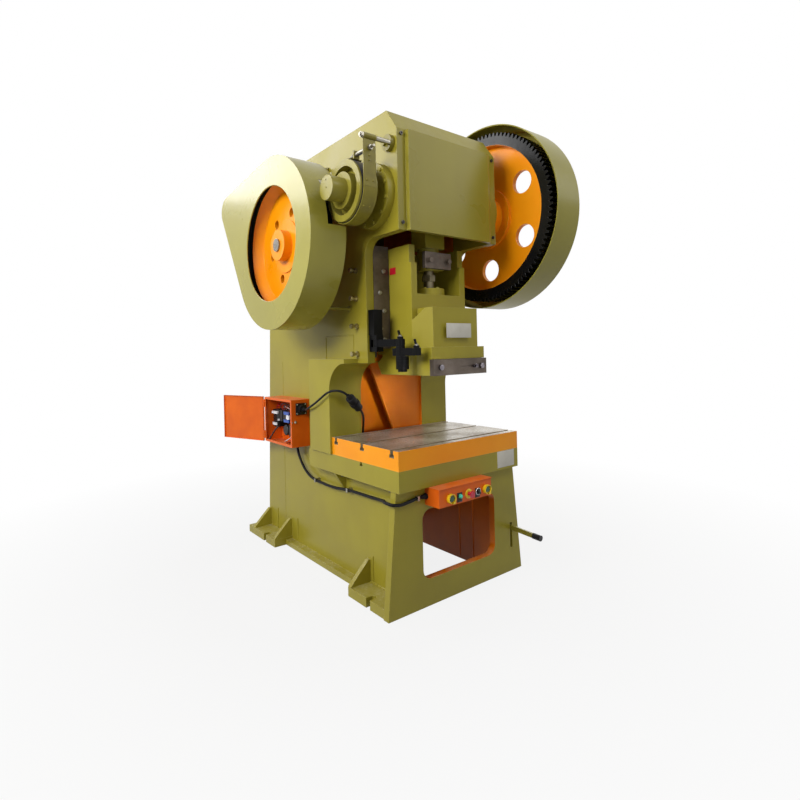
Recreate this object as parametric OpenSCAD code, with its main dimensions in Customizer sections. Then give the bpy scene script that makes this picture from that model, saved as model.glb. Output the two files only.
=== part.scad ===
// Mechanical stamping press, open-fronted C frame, crank driven.
// Origin on the floor at the middle of the four anchor slots, X to the right
// seen from the front, Y to the rear, Z up. Slide at the top of its stroke.

/* [Table] */
// Height of the bolster's top above the floor
table_h = 1000; // [940:5:1100]
// Width of the bolster and of the table block under it
bolster_w = 1080; // [1070:5:1140]
// Depth of the bolster from front to back
bolster_d = 748; // [720:2:780]
// Thickness of the bolster
bolster_t = 120; // [90:5:140]
// Thickness of the table block
table_t = 130; // [100:5:150]
// Depth of the table block
table_d = 1085; // [1060:5:1120]
// Width of a T-slot's neck
slot_neck_w = 28; // [20:1:32]
// Width of a T-slot's head
slot_head_w = 46; // [38:1:52]
// Depth of a T-slot's neck
slot_neck_d = 26; // [18:1:32]
// Height of a T-slot's head
slot_head_h = 20; // [14:1:26]
// Distance of the first T-slot behind the bolster's front
slot_first = 66; // [50:2:90]
// Distance between T-slots
slot_pitch = 316; // [280:2:320]

/* [Frame] */
// Width over the two side plates
body_w = 882; // [872:2:900]
// Thickness of a side plate
cheek_t = 60; // [50:2:64]
// Distance of the base's front behind the bolster's front
base_front = 43; // [30:1:60]
// Thickness of the base's front plate
base_plate_t = 50; // [40:2:60]
// Width of the base's front plate under the table
base_top_w = 1064; // [1040:2:1070]
// Width of the base's front plate at the floor
base_low_w = 1214; // [1200:2:1240]
// Width of the window in the base's front plate
window_w = 660; // [560:5:700]
// Height of the window's lower edge
window_low = 167; // [120:5:220]
// Height of the window
window_h = 436; // [380:4:470]
// Radius of the window's corners
window_r = 66; // [40:2:90]
// Distance of the frame's rear foot behind the bolster's front
rear_low = 2042; // [2020:2:2080]
// Distance of the frame's upper rear edge behind the bolster's front
rear_high = 1952; // [1940:2:1980]
// Height of the head's top above the crank's axis
head_rise = 510; // [475:5:555]
// Depth of the head's underside below the crank's axis
head_drop = 252; // [240:1:265]
// Distance of the head's front behind the bolster's front
head_front = 73; // [65:1:80]
// Distance of the side plates' front edges below the head
cheek_front = 433; // [426:1:440]
// Gap between the bolster's rear and the throat
throat_gap = 2; // [1:1:8]
// Height of the throat's roof above the bolster
throat_h = 515; // [490:5:530]
// Radius of the throat's upper corner
throat_r = 200; // [150:5:220]
// Width of one throat box, from its inner wall to its outer wall
throat_box_w = 266; // [250:2:280]
// Thickness of the plates of the throat
throat_t = 22; // [16:1:30]
// Height of the motor deck
deck_h = 2550; // [2530:5:2560]
// Thickness of the cross plates between the side plates
cross_t = 40; // [30:2:50]

/* [Anchors] */
// Distance between the anchor slots from side to side
anchor_x = 1120; // [1100:5:1140]
// Distance between the anchor slots from front to back
anchor_y = 1532; // [1500:4:1560]
// Distance of the front anchor slots behind the base's front
anchor_inset = 221; // [200:1:240]
// Width of an anchor slot
anchor_slot_w = 42; // [30:1:50]
// Thickness of the foot pads
pad_t = 60; // [50:2:70]

/* [Crank and gears] */
// Distance of the crank's axis behind the bolster's front
crank_back = 303; // [298:1:308]
// Height of the crank's axis
crank_h = 2585; // [2570:1:2600]
// Stroke of the slide
stroke = 140; // [120:2:150]
// Radius of the crank's main journals
journal_r = 80; // [70:1:84]
// Radius of the crank pin
crankpin_r = 92; // [86:1:96]
// Wall of the bronze bushes
bush_t = 18; // [12:1:22]
// Module of the gear pair
gear_module = 12; // [12:1:12]
// Teeth of the big gear
gear_teeth = 103; // [101:1:104]
// Teeth of the pinion
pinion_teeth = 17; // [17:1:18]
// Width of the big gear's rim
gear_face = 140; // [110:5:150]
// Distance of the big gear's rim from the middle of the press
gear_x = 565; // [560:1:575]
// Angle of the pinion below the level of the crank, in degrees
pinion_drop = 18.6; // [16:0.2:21]
// Radius of the pinion shaft
shaft_r = 45; // [38:1:50]

/* [Flywheel and motor] */
// Radius of the flywheel
wheel_r = 520; // [500:5:540]
// Width of the flywheel's rim
wheel_w = 160; // [140:5:170]
// Inner radius of the flywheel's rim
rim_in_r = 395; // [380:5:400]
// Distance of the flywheel's outer face from the middle of the press
wheel_x = 825; // [820:1:830]
// Distance of the motor's axis behind the bolster's front
motor_back = 1790; // [1780:1:1796]
// Height of the motor's axis over its deck
motor_up = 215; // [210:1:222]
// Radius of the motor's pulley
pulley_r = 85; // [75:1:92]
// Radius of the motor's body
motor_r = 135; // [120:1:145]
// Number of V-belts
belts = 4; // [3:1:4]
// Width of a V-belt
belt_w = 17; // [14:1:20]
// Thickness of a V-belt
belt_t = 11; // [9:1:13]

/* [Guards] */
// Radius of the flywheel guard
guard_r = 596; // [590:1:604]
// Radius of the flywheel guard's opening
guard_hole_r = 400; // [390:5:405]
// Radius of the flywheel guard's small end
guard_tip_r = 108; // [105:1:114]
// Depth of the flywheel guard
guard_d = 255; // [245:1:260]
// Distance of the flywheel guard's face from the middle of the press
guard_x = 870; // [865:1:876]
// Thickness of guard sheet
sheet_t = 4; // [3:0.5:6]
// Radius of the gear guard
gear_guard_r = 683; // [676:1:692]
// Inner edge of the gear guard from the middle of the press
gear_guard_in = 552; // [548:1:556]
// Outer face of the gear guard from the middle of the press
gear_guard_out = 800; // [780:2:820]

/* [Slide] */
// Width of the slide's body
slide_w = 410; // [400:2:416]
// Width of the slide over its wings
wing_w = 490; // [484:2:500]
// Width of the slide's foot
foot_w = 476; // [470:2:482]
// Height of the slide's underside at the top of its stroke
slide_low = 1430; // [1425:1:1440]
// Height of the slide's deck
deck_z = 1967; // [1960:1:1975]
// Height of the slide's wings
wing_top = 2290; // [2280:1:2300]
// Radius of the hole for a die shank
shank_r = 30; // [20:1:35]
// Depth of the hole for a die shank
shank_d = 90; // [70:2:100]
// Radius of the adjusting screw
screw_r = 36; // [30:1:40]
// Radius of the ball retaining ring
ball_ring_r = 107; // [100:1:115]

/* [Guides] */
// Depth of the slide's guide flange
guide_d = 100; // [80:2:110]
// Width over the slide's guide flange
guide_w = 640; // [620:2:650]
// Thickness of the gib plates
gib_t = 60; // [40:2:64]
// Height of the gibs' lower ends
gib_low = 1610; // [1590:2:1630]
// Height of the gibs' upper ends
gib_top = 2222; // [2200:2:2240]
// Height of the lowest gib adjusting bolt
gib_bolt_z = 1578; // [1570:1:1590]
// Distance between gib adjusting bolts
gib_bolt_pitch = 188; // [170:1:195]

/* [Brake] */
// Radius of the brake drum
drum_r = 188; // [176:1:194]
// Width of the brake drum
drum_w = 126; // [100:2:130]
// Outer face of the brake drum from the middle of the press
drum_x = 686; // [680:1:692]
// Thickness of the brake lining
lining_t = 6; // [4:0.5:8]
// Thickness of the brake band
band_t = 5; // [3:0.5:6]
// Width of the brake band
band_w = 90; // [70:2:96]

/* [Front cover] */
// Depth of the front cover
cover_d = 33; // [24:1:40]
// Width of the front cover's flange
cover_rim = 62; // [54:1:70]

/* [Electrical box and panel] */
// Width of the electrical box along the frame
box_w = 490; // [470:2:500]
// Height of the electrical box
box_h = 368; // [350:2:380]
// Depth of the electrical box
box_d = 156; // [140:2:170]
// Distance of the electrical box behind the bolster's front
box_back = 1255; // [1245:1:1265]
// Height of the electrical box's underside
box_z = 862; // [855:1:870]
// Angle of the box's door in its resting place, in degrees
door_open = 160; // [120:1:165]
// Width of the control panel
panel_w = 462; // [450:2:480]
// Height of the control panel
panel_h = 112; // [104:1:120]
// Depth of the control panel
panel_d = 131; // [120:1:140]
// Distance between the panel's operating elements
panel_pitch = 80; // [78:1:83]
// Radius of the push buttons
button_r = 11; // [10:0.5:13]

/* [Foot lever] */
// Distance of the foot lever from the middle of the press
lever_x = 503; // [498:1:506]
// Height of the foot lever's pivot
lever_h = 322; // [316:1:330]
// Distance of the lever's pivot behind the bolster's front
lever_back = 300; // [280:2:320]
// Length of the foot lever from its pivot to its tip
lever_l = 515; // [490:2:530]

/* [Clearances] */
// Radial clearance of a running shaft
run_fit = 0.05; // [0.03:0.01:0.08]
// Gap between faces that slide
slide_fit = 0.2; // [0.1:0.05:0.3]
// Gap between curved or soft faces that only pass each other
air = 0.3; // [0.3:0.05:0.5]

/* [Hidden] */
$fn = 96;
e = 0.01;
function behind(d) = d - (base_front + anchor_inset + anchor_y / 2);
head_top = crank_h + head_rise;
head_low = crank_h - head_drop;
cheek_x = body_w / 2;
inner_x = cheek_x - cheek_t;
front_y = behind(0);
plate_y = behind(base_front);
crank_y = behind(crank_back);
throat_y = behind(bolster_d + throat_gap);
throat_z = table_h + throat_h;
block_z = table_h - bolster_t;
under_z = block_z - table_t;
roof_y = throat_y - throat_r;
web_y = behind(cheek_front) + gib_t + slide_fit + guide_d + slide_fit;
throw = stroke / 2;
gear_pitch_r = gear_module * gear_teeth / 2;
pinion_pitch_r = gear_module * pinion_teeth / 2;
centres = gear_pitch_r + pinion_pitch_r;
shaft_y = crank_y + centres * cos(pinion_drop);
shaft_z = crank_h - centres * sin(pinion_drop);
motor_y = behind(motor_back);
motor_z = deck_h + motor_up;
box_y = behind(box_back);
box_x = cheek_x + box_d;
panel_y = plate_y - panel_d;
panel_z = under_z - 2 - panel_h;
panel_mid = -75;
housing_r = 168;
housing_flange_r = 205;
housing_flange_t = 54;
shaft_housing_r = 78;
shaft_flange_r = 115;
shaft_flange_t = 38;
gear_hub_in = cheek_x + housing_flange_t + 20;
gear_hub_out = gear_x + gear_face + 15;
slide_face = behind(197);
wing_face = behind(215);
foot_face = behind(45);
sill_face = behind(22);
clamp_z = 104;
belt_pitch = 24;
belt_x = wheel_x - wheel_w / 2;
dish_depth = 90;
hub_ring_r = 187;
flange_low = throat_z + cross_t + stroke + 10;

// Helpers: an outline in the YZ plane extruded from x0 to x1, and round bars along X and Y
module yz(x0, x1) {
    translate([min(x0, x1), 0, 0]) rotate([90, 0, 90]) linear_extrude(abs(x1 - x0)) children();
}
module bar_x(x0, x1, y, z, r) {
    translate([min(x0, x1), y, z]) rotate([0, 90, 0]) cylinder(h = abs(x1 - x0), r = r);
}
module bar_y(x, y0, y1, z, r) {
    translate([x, min(y0, y1), z]) rotate([-90, 0, 0]) cylinder(h = abs(y1 - y0), r = r);
}
module block(x0, x1, y0, y1, z0, z1) {
    translate([min(x0, x1), min(y0, y1), min(z0, z1)])
        cube([abs(x1 - x0), abs(y1 - y0), abs(z1 - z0)]);
}
// The fillet between two edges that meet at (y, z), on the side away from the void
module corner_fill(y, z, r) {
    difference() {
        translate([y - r, z - r]) square([r + e, r + e]);
        translate([y - r, z - r]) circle(r);
    }
}
// A hexagonal or square head, or a nut, along X or Y
module hex_x(x0, x1, y, z, r) {
    translate([min(x0, x1), y, z]) rotate([0, 90, 0]) cylinder(h = abs(x1 - x0), r = r, $fn = 6);
}
module hex_y(x, y0, y1, z, r) {
    translate([x, min(y0, y1), z]) rotate([-90, 0, 0]) cylinder(h = abs(y1 - y0), r = r, $fn = 6);
}
module both_sides() {
    children();
    mirror([1, 0, 0]) children();
}

// The outline of one side plate, seen from the side
module cheek_outline() {
    polygon([
        [plate_y + base_plate_t, 0], [behind(rear_low), 0], [behind(rear_low), 180],
        [behind(rear_high), 1800], [behind(rear_high), deck_h], [behind(1500), deck_h],
        [behind(1350), head_top], [behind(head_front) + 96, head_top],
        [behind(head_front), head_top - 135], [behind(head_front), head_low],
        [behind(cheek_front), head_low], [behind(cheek_front), throat_z],
        [throat_y, throat_z], [throat_y, under_z], [plate_y + base_plate_t, under_z]]);
    corner_fill(behind(cheek_front), head_low, 100);
    corner_fill(throat_y, throat_z, throat_r);
}
// The outline of a throat box: front wall, rounded roof and rear wall, seen from the side
throat_back = behind(1032);
module throat_outline() {
    polygon([[throat_y, block_z], [throat_back, block_z], [throat_back, throat_z + 30],
        [roof_y, throat_z + 30], [roof_y, throat_z], [throat_y, throat_z]]);
    corner_fill(throat_y, throat_z, throat_r);
}
module throat_void() {
    difference() {
        translate([roof_y, block_z - 1])
            square([throat_back - throat_t - roof_y, throat_h + bolster_t + 9]);
        translate([roof_y, throat_z - throat_r]) circle(throat_r + throat_t);
        translate([roof_y - 1, block_z - 2])
            square([throat_r + throat_t + 1, throat_h + bolster_t + 2 - throat_r]);
    }
}
module throat_box() {
    inner = bolster_w / 2 + 16 - throat_box_w;
    difference() {
        yz(inner, inner + throat_box_w) throat_outline();
        yz(inner + throat_t, inner + throat_box_w - throat_t) throat_void();
    }
}
// The outline of a round-cornered opening in the base's front plate
module window_outline() {
    x = window_w / 2 - window_r;
    for (sx = [-x, x], sz = [window_low + window_r, window_low + window_h - window_r])
        translate([sx, sz]) circle(window_r);
    translate([-x, window_low]) square([2 * x, window_h]);
    translate([-window_w / 2, window_low + window_r])
        square([window_w, window_h - 2 * window_r]);
}
module base_front_plate() {
    difference() {
        translate([0, plate_y + base_plate_t, 0]) rotate([90, 0, 0])
            linear_extrude(base_plate_t)
                difference() {
                    polygon([[-base_low_w / 2, 0], [base_low_w / 2, 0],
                        [base_top_w / 2, under_z], [-base_top_w / 2, under_z]]);
                    window_outline();
                }
        block(lever_x - 12, lever_x + 12, plate_y - 1, plate_y + base_plate_t + 1, 165, 343);
    }
}
// One foot pad with its slot open to the side and its gussets
module foot_pad(y0, y1, slot_y, gusset_y) {
    edge = base_low_w / 2 - 7;
    difference() {
        block(cheek_x - 20, edge, y0, y1, 0, pad_t);
        translate([anchor_x / 2, slot_y, -1]) cylinder(h = pad_t + 2, r = anchor_slot_w / 2);
        block(anchor_x / 2, edge + 1, slot_y - anchor_slot_w / 2, slot_y + anchor_slot_w / 2,
            -1, pad_t + 1);
    }
    for (y = gusset_y)
        translate([0, y + 17, 0]) rotate([90, 0, 0]) linear_extrude(34)
            polygon([[cheek_x - 1, pad_t - 1], [edge - 2, pad_t - 1], [edge - 2, pad_t + 8],
                [cheek_x + 18, 206], [cheek_x - 1, 206]]);
}
module frame_side() {
    difference() {
        yz(inner_x, cheek_x) cheek_outline();
        bar_x(inner_x - 1, cheek_x + 1, crank_y, crank_h, housing_r);
        bar_x(inner_x - 1, cheek_x + 1, shaft_y, shaft_z, shaft_housing_r);
        for (i = [0:3])
            bar_x(inner_x - 1, cheek_x + 1, web_y - guide_d / 2, gib_bolt_z + i * gib_bolt_pitch,
                11);
        for (z = cover_screw_z)
            bar_y(cover_screw_x, behind(head_front) - 1, behind(head_front) + 30, z, 6);
    }
    throat_box();
    // Floor flange and feet
    block(cheek_x - 1, cheek_x + 58, plate_y + base_plate_t - 1, behind(rear_low), 0, 40);
    foot_pad(plate_y + base_plate_t - 1, behind(490), -anchor_y / 2, [behind(473)]);
    foot_pad(behind(1600), behind(2128), anchor_y / 2, [behind(1618), behind(2018)]);
    block(cheek_x - 20, cheek_x + 58, behind(rear_low) - 1, behind(2128), 0, pad_t);
    // Bracket under the overhang of the table block
    translate([0, behind(757), 0]) rotate([90, 0, 0]) linear_extrude(24)
        polygon([[cheek_x - 1, under_z + 1], [bolster_w / 2 - 6, under_z + 1],
            [cheek_x + 10, under_z - 130], [cheek_x - 1, under_z - 130]]);
    // Guide housing inside the side plate, behind the gib plate
    difference() {
        block(guide_w / 2 + 28, inner_x + 1, behind(cheek_front) + gib_t, web_y + 1,
            gib_low - 90, gib_top + 20);
        for (i = [0:3])
            bar_x(guide_w / 2, inner_x + 2, web_y - guide_d / 2,
                gib_bolt_z + i * gib_bolt_pitch, 11);
    }
}
module frame() color([0.60, 0.57, 0.27]) {
    difference() {
        both_sides() frame_side();
        bar_x(cheek_x - 30, cheek_x + 1, behind(lever_back), lever_h, 12);
    }
    base_front_plate();
    difference() {
        block(-bolster_w / 2, bolster_w / 2, front_y, behind(table_d), under_z, block_z);
        for (x = [-1, 1] * bolster_screw_x, d = bolster_screw_d)
            translate([x, behind(d), under_z - 1]) cylinder(h = table_t + 2, r = 13);
        translate([-250, behind(795), block_z - 40]) cylinder(h = 41, r = 14);
        // Key slot across the joint with the bolster
        block(-bolster_w, bolster_w, behind(395) - 8, behind(395) + 8, block_z - 16, block_z + 1);
        block(-bolster_w, bolster_w, behind(395) - 16, behind(395) + 16, block_z - 28,
            block_z - 15);
    }
    // Top, front chamfer, rear slope, deck and rear wall
    x = inner_x + 1;
    yz(-x, x) polygon([[behind(head_front) + 96, head_top], [behind(head_front), head_top - 135],
        [behind(head_front), head_top - 190], [behind(head_front) + 30, head_top - 190],
        [behind(head_front) + 30, head_top - 147], [behind(head_front) + 108, head_top - cross_t],
        [behind(1322), head_top - cross_t], [behind(1470), deck_h - cross_t],
        [behind(rear_high) - cross_t, deck_h - cross_t],
        [behind(rear_high) - cross_t, 1800], [behind(rear_low) - cross_t - 22, 600],
        [behind(rear_low) - 24, 600], [behind(rear_high), 1800], [behind(rear_high), deck_h],
        [behind(1500), deck_h], [behind(1350), head_top]]);
    // Web behind the slide, throat roof, rear wall of the throat and lower tie
    block(-x, x, web_y, web_y + cross_t, throat_z, 2250);
    block(-x, x, web_y, behind(950), throat_z, throat_z + cross_t);
    block(-x, x, behind(910), behind(950), block_z - 1, throat_z + 1);
    block(-x, x, behind(1045), behind(1085), 150, under_z + 1);
    // Raking gusset in the throat
    gx = bolster_w / 2 + 16 - throat_box_w + 1;
    translate([0, throat_y + 42, 0]) rotate([90, 0, 0]) linear_extrude(20)
        polygon([[gx, block_z - 1], [70, block_z - 1], [-200, throat_z + 1], [gx, throat_z + 1]]);
}

bolster_screw_x = (body_w + bolster_w) / 4;
bolster_screw_d = [140, bolster_d - 60];
module bolster() color([0.97, 0.62, 0.07]) {
    difference() {
        block(-bolster_w / 2, bolster_w / 2, front_y, behind(bolster_d), block_z, table_h);
        for (i = [0:2]) {
            y = behind(slot_first + i * slot_pitch);
            head = table_h - slot_neck_d;
            block(-bolster_w, bolster_w, y - slot_neck_w / 2, y + slot_neck_w / 2, head - 1,
                table_h + 1);
            block(-bolster_w, bolster_w, y - slot_head_w / 2, y + slot_head_w / 2,
                head - slot_head_h, head);
        }
        for (x = [-1, 1] * bolster_screw_x, d = bolster_screw_d)
            translate([x, behind(d), block_z - 1]) cylinder(h = 50, r = 10);
    }
}

// A socket-head screw standing on its tip at the origin, head up
module cap_screw(r, l, head_r, head_h) {
    cylinder(h = l + 1, r = r, $fn = 24);
    difference() {
        translate([0, 0, l]) cylinder(h = head_h, r = head_r, $fn = 24);
        translate([0, 0, l + head_h * 0.4]) cylinder(h = head_h, r = head_r * 0.55, $fn = 6);
    }
}
cover_screw_z = [head_low + 48, head_top - 168];
cover_screw_x = cheek_x - cover_rim / 2;
gib_screws = [[0.30, 0.10], [0.70, 0.22], [0.30, 0.42], [0.70, 0.62], [0.30, 0.86]];
gib_inner = wing_w / 2 + 3;
gib_outer = inner_x - 5;
module socket_screws() color([0.45, 0.43, 0.40]) {
    // Bolster screws, from below
    for (x = [-1, 1] * bolster_screw_x, d = bolster_screw_d)
        translate([x, behind(d), block_z + 49]) rotate([180, 0, 0])
            cap_screw(10, table_t + 49, 18, 20);
    // Front cover screws
    for (x = [-1, 1] * cover_screw_x, z = cover_screw_z)
        translate([x, behind(head_front) + 30, z]) rotate([90, 0, 0])
            cap_screw(6, 30 + sheet_t, 11, 9);
    // Gib plate screws
    for (s = [-1, 1], p = gib_screws)
        translate([s * (gib_inner + 22 + p[0] * (gib_outer - gib_inner - 44)),
            behind(cheek_front) + gib_t - 2, gib_low + p[1] * (gib_top - gib_low)])
            rotate([90, 0, 0]) cap_screw(8, gib_t - 14, 12, 12);
}

module front_cover() color([0.53, 0.50, 0.22]) {
    y = behind(head_front);
    low = head_low + 2;
    top = head_top - 142;
    in_x = cheek_x - cover_rim;
    difference() {
        union() {
            block(-cheek_x, cheek_x, y - sheet_t, y, low, top);
            translate([0, 0, low]) linear_extrude(top - low)
                polygon([[-in_x, y - 1], [-in_x + 5, y - cover_d], [in_x - 34, y - cover_d],
                    [in_x - 10, y - cover_d + 12], [in_x, y - 1]]);
        }
        translate([0, 0, low + sheet_t]) linear_extrude(top - low - 2 * sheet_t)
            polygon([[-in_x + sheet_t, y + 1], [-in_x + 5 + sheet_t, y - cover_d + sheet_t],
                [in_x - 36, y - cover_d + sheet_t], [in_x - 10 - sheet_t, y - cover_d + 16],
                [in_x - sheet_t, y + 1]]);
        for (x = [-1, 1] * cover_screw_x, z = cover_screw_z)
            bar_y(x, y - 10, y + 1, z, 6.5);
    }
}

module crank_housings() color([0.56, 0.53, 0.24]) both_sides() difference() {
    union() {
        bar_x(inner_x, cheek_x + 1, crank_y, crank_h, housing_r);
        bar_x(cheek_x, cheek_x + housing_flange_t, crank_y, crank_h, housing_flange_r);
        for (a = [15:30:345])
            hex_x(cheek_x + housing_flange_t - 1, cheek_x + housing_flange_t + 9,
                crank_y + 186 * cos(a), crank_h + 186 * sin(a), 12);
    }
    bar_x(inner_x - 1, cheek_x + housing_flange_t + 10, crank_y, crank_h, journal_r + bush_t);
}
module crank_bushes() color([0.72, 0.52, 0.22]) both_sides() difference() {
    bar_x(inner_x, cheek_x + housing_flange_t, crank_y, crank_h, journal_r + bush_t);
    bar_x(inner_x - 1, cheek_x + housing_flange_t + 1, crank_y, crank_h, journal_r + run_fit);
}

// The shaft with its throw, webs and seats for drum and gear; the key's groove is cut in
key_r = 22;
key_y = crank_y + (journal_r - 9) * cos(-40);
key_z = crank_h + (journal_r - 9) * sin(-40);
shaft_end_x = 806;
web_in = 92;
web_out = 176;
module crankshaft() color([0.42, 0.40, 0.38]) difference() {
    union() {
        bar_x(-drum_x + drum_w, -web_out + 1, crank_y, crank_h, journal_r);
        bar_x(-shaft_end_x, -drum_x + drum_w + 1, crank_y, crank_h, journal_r - 5);
        bar_x(web_out - 1, gear_hub_out + 2, crank_y, crank_h, journal_r);
        both_sides() bar_x(web_in, web_out, crank_y, crank_h + throw / 2, 172);
        bar_x(-web_in - 1, web_in + 1, crank_y, crank_h + throw, crankpin_r);
    }
    bar_x(gear_hub_in, gear_hub_out + 3, key_y, key_z, key_r + 0.2);
    for (z = [0, 46])
        translate([-shaft_end_x - 1, crank_y, crank_h + z]) rotate([0, 90, 0])
            cylinder(h = 15, r = 5, $fn = 24);
}
module clutch_key() color([0.55, 0.53, 0.50]) intersection() {
    bar_x(gear_hub_in + 1, gear_hub_out + 1, key_y, key_z, key_r);
    bar_x(gear_hub_in, gear_hub_out + 1, crank_y, crank_h, journal_r - 0.3);
}
module crank_end_plate() color([0.50, 0.47, 0.30]) {
    bar_x(gear_hub_out + 2, gear_hub_out + 20, crank_y, crank_h, 112);
    for (a = [90:120:330])
        hex_x(gear_hub_out + 19, gear_hub_out + 32, crank_y + 46 * cos(a),
            crank_h + 46 * sin(a), 17);
}

module brake_drum() color([0.56, 0.53, 0.24]) {
    x0 = -drum_x;
    x1 = -drum_x + drum_w;
    difference() {
        union() {
            difference() {
                bar_x(x0, x1, crank_y, crank_h, drum_r);
                bar_x(x0 - 1, x0 + 62, crank_y, crank_h, drum_r - 40);
            }
            bar_x(x0 - 14, x1, crank_y, crank_h, journal_r + 32);
        }
        bar_x(x0 - 20, x1 + 1, crank_y, crank_h, journal_r - 5);
    }
}
// A ring sector round the crank's axis, open between two angles
module band_ring(r0, r1, w, from, to) {
    mid = -drum_x + drum_w / 2;
    difference() {
        bar_x(mid - w / 2, mid + w / 2, crank_y, crank_h, r1);
        bar_x(mid - w, mid + w, crank_y, crank_h, r0);
        yz(mid - w, mid + w) polygon([[crank_y, crank_h],
            [crank_y + 600 * cos(from), crank_h + 600 * sin(from)],
            [crank_y + 900 * cos((from + to) / 2), crank_h + 900 * sin((from + to) / 2)],
            [crank_y + 600 * cos(to), crank_h + 600 * sin(to)]]);
    }
}
lining_r = drum_r + air;
band_r = lining_r + lining_t;
brake_mid = -drum_x + drum_w / 2;
lug_turn = 107;
tab_y = crank_y - band_r - band_t / 2 - 1;
tab_half = 2.7;
anchor_z = crank_h + 283;
rod_z = crank_h + 216;
lug_y = crank_y + (band_r + band_t / 2) * cos(lug_turn);
module brake_lining() color([0.10, 0.09, 0.08])
    band_ring(lining_r, band_r, band_w - 8, lug_turn - 2, 180);
// The band rises in front of the drum as a flat tab with an eye, and ends at the top in a lug
module brake_band() color([0.45, 0.42, 0.22]) {
    x0 = brake_mid - band_w / 2;
    x1 = brake_mid + band_w / 2;
    difference() {
        union() {
            band_ring(band_r, band_r + band_t, band_w, lug_turn, 180);
            block(x0, x1, tab_y - tab_half, tab_y + tab_half, crank_h - 12, anchor_z);
            bar_x(x0, x1, tab_y, anchor_z, 18);
            block(brake_mid - 20, brake_mid + 20, lug_y - 6, lug_y + 6, crank_h + band_r - 5,
                rod_z + 24);
        }
        bar_x(x0 - 1, x1 + 1, tab_y, anchor_z, 10 + air);
        bar_y(brake_mid, tab_y - 9, lug_y + 9, rod_z, 8 + air);
    }
}
// Boss on the head's side that holds the anchor pin
boss_y = tab_y + 32;
boss_z = anchor_z + 10;
boss_w = 30;
module brake_bracket() color([0.50, 0.47, 0.22]) difference() {
    union() {
        bar_x(-cheek_x - boss_w, -cheek_x, boss_y, boss_z, 50);
        hex_x(-cheek_x - boss_w - 16, -cheek_x - boss_w + 1, boss_y + 16, boss_z + 4, 24);
    }
    bar_x(-cheek_x - boss_w - 20, -cheek_x - 6, tab_y, anchor_z, 10 + air);
}
module brake_spring_rod() color([0.52, 0.50, 0.40]) {
    // Anchor pin with its spacer and nut
    x0 = brake_mid - band_w / 2 - air;
    bar_x(x0 - 24, -cheek_x - 6 - air, tab_y, anchor_z, 10);
    bar_x(brake_mid + band_w / 2 + air, -cheek_x - boss_w - air, tab_y, anchor_z, 15);
    hex_x(x0 - 17, x0, tab_y, anchor_z, 18);
    // Spring rod that draws the lug towards the tab, with its spring's tube and nuts
    bar_y(brake_mid, tab_y - 52, lug_y + 50, rod_z, 8);
    bar_y(brake_mid, tab_y + tab_half + air, lug_y - 6 - air, rod_z, 14);
    hex_y(brake_mid, tab_y - 19, tab_y - tab_half - air, rod_z, 17);
    hex_y(brake_mid, lug_y + 6 + air, lug_y + 22, rod_z, 17);
}

// Gib plates in front of the guide flange and wear strips at its ends
module gibs() color([0.38, 0.33, 0.28]) both_sides() {
    y0 = behind(cheek_front);
    difference() {
        block(gib_inner, gib_outer, y0, y0 + gib_t, gib_low, gib_top);
        for (p = gib_screws)
            translate([gib_inner + 22 + p[0] * (gib_outer - gib_inner - 44), y0 - 1,
                gib_low + p[1] * (gib_top - gib_low)]) rotate([-90, 0, 0]) {
                    cylinder(h = gib_t + 2, r = 8);
                    cylinder(h = 15, r = 13);
                }
    }
    block(guide_w / 2 + slide_fit, guide_w / 2 + 28, y0 + gib_t + 1, web_y, gib_low - 60,
        gib_top);
    // Plain cap on the gib's upper end
    block(gib_inner + 2, gib_outer, y0 + 2, y0 + gib_t, gib_top, gib_top + 84);
}
module gib_bolts() color([0.55, 0.52, 0.38]) both_sides() for (i = [0:3]) {
    y = web_y - guide_d / 2;
    z = gib_bolt_z + i * gib_bolt_pitch;
    bar_x(guide_w / 2 + 28, cheek_x + 58, y, z, 10);
    hex_x(cheek_x, cheek_x + 16, y, z, 19);
    hex_x(cheek_x + 40, cheek_x + 58, y, z, 17);
}

// Teeth: one polygon from involute flanks, with a small backlash
function inv(r, rb) = let (t = sqrt(max(0, (r / rb) * (r / rb) - 1))) t * 180 / PI - atan(t);
function tooth_half(r, rp, rb, z) = 90 / z - 0.35 / rp * 180 / PI + inv(rp, rb) - inv(max(r, rb), rb);
function gear_points(m, z, turn) = let (
        rp = m * z / 2, rb = rp * cos(20), tip = rp + m, root = rp - 1.25 * m,
        radii = [root, max(root, rb) + 0.2 * m, rp, rp + 0.55 * m, tip])
    [for (i = [0:z - 1]) each [
        for (k = [0:4]) let (a = turn + i * 360 / z - tooth_half(radii[k], rp, rb, z))
            [radii[k] * cos(a), radii[k] * sin(a)],
        for (k = [4:-1:0]) let (a = turn + i * 360 / z + tooth_half(radii[k], rp, rb, z))
            [radii[k] * cos(a), radii[k] * sin(a)]]];
gear_hole_n = 6;
web_x = gear_x + 62;
module big_gear() color([0.96, 0.60, 0.08]) difference() {
    union() {
        difference() {
            translate([0, crank_y, crank_h]) yz(gear_x, gear_x + gear_face)
                polygon(gear_points(gear_module, gear_teeth, -pinion_drop - 180 / gear_teeth));
            bar_x(gear_x - 1, gear_x + gear_face + 1, crank_y, crank_h, 538);
        }
        bar_x(web_x, web_x + 34, crank_y, crank_h, 539);
        bar_x(gear_hub_in, gear_hub_out, crank_y, crank_h, journal_r + bush_t + 62);
        bar_x(web_x - 22, web_x + 1, crank_y, crank_h, 225);
    }
    bar_x(gear_hub_in - 1, gear_hub_out + 1, crank_y, crank_h, journal_r + bush_t);
    for (i = [0:gear_hole_n - 1])
        bar_x(web_x - 1, web_x + 35, crank_y + 392 * cos(148 + i * 60),
            crank_h + 392 * sin(148 + i * 60), 82);
}
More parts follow.
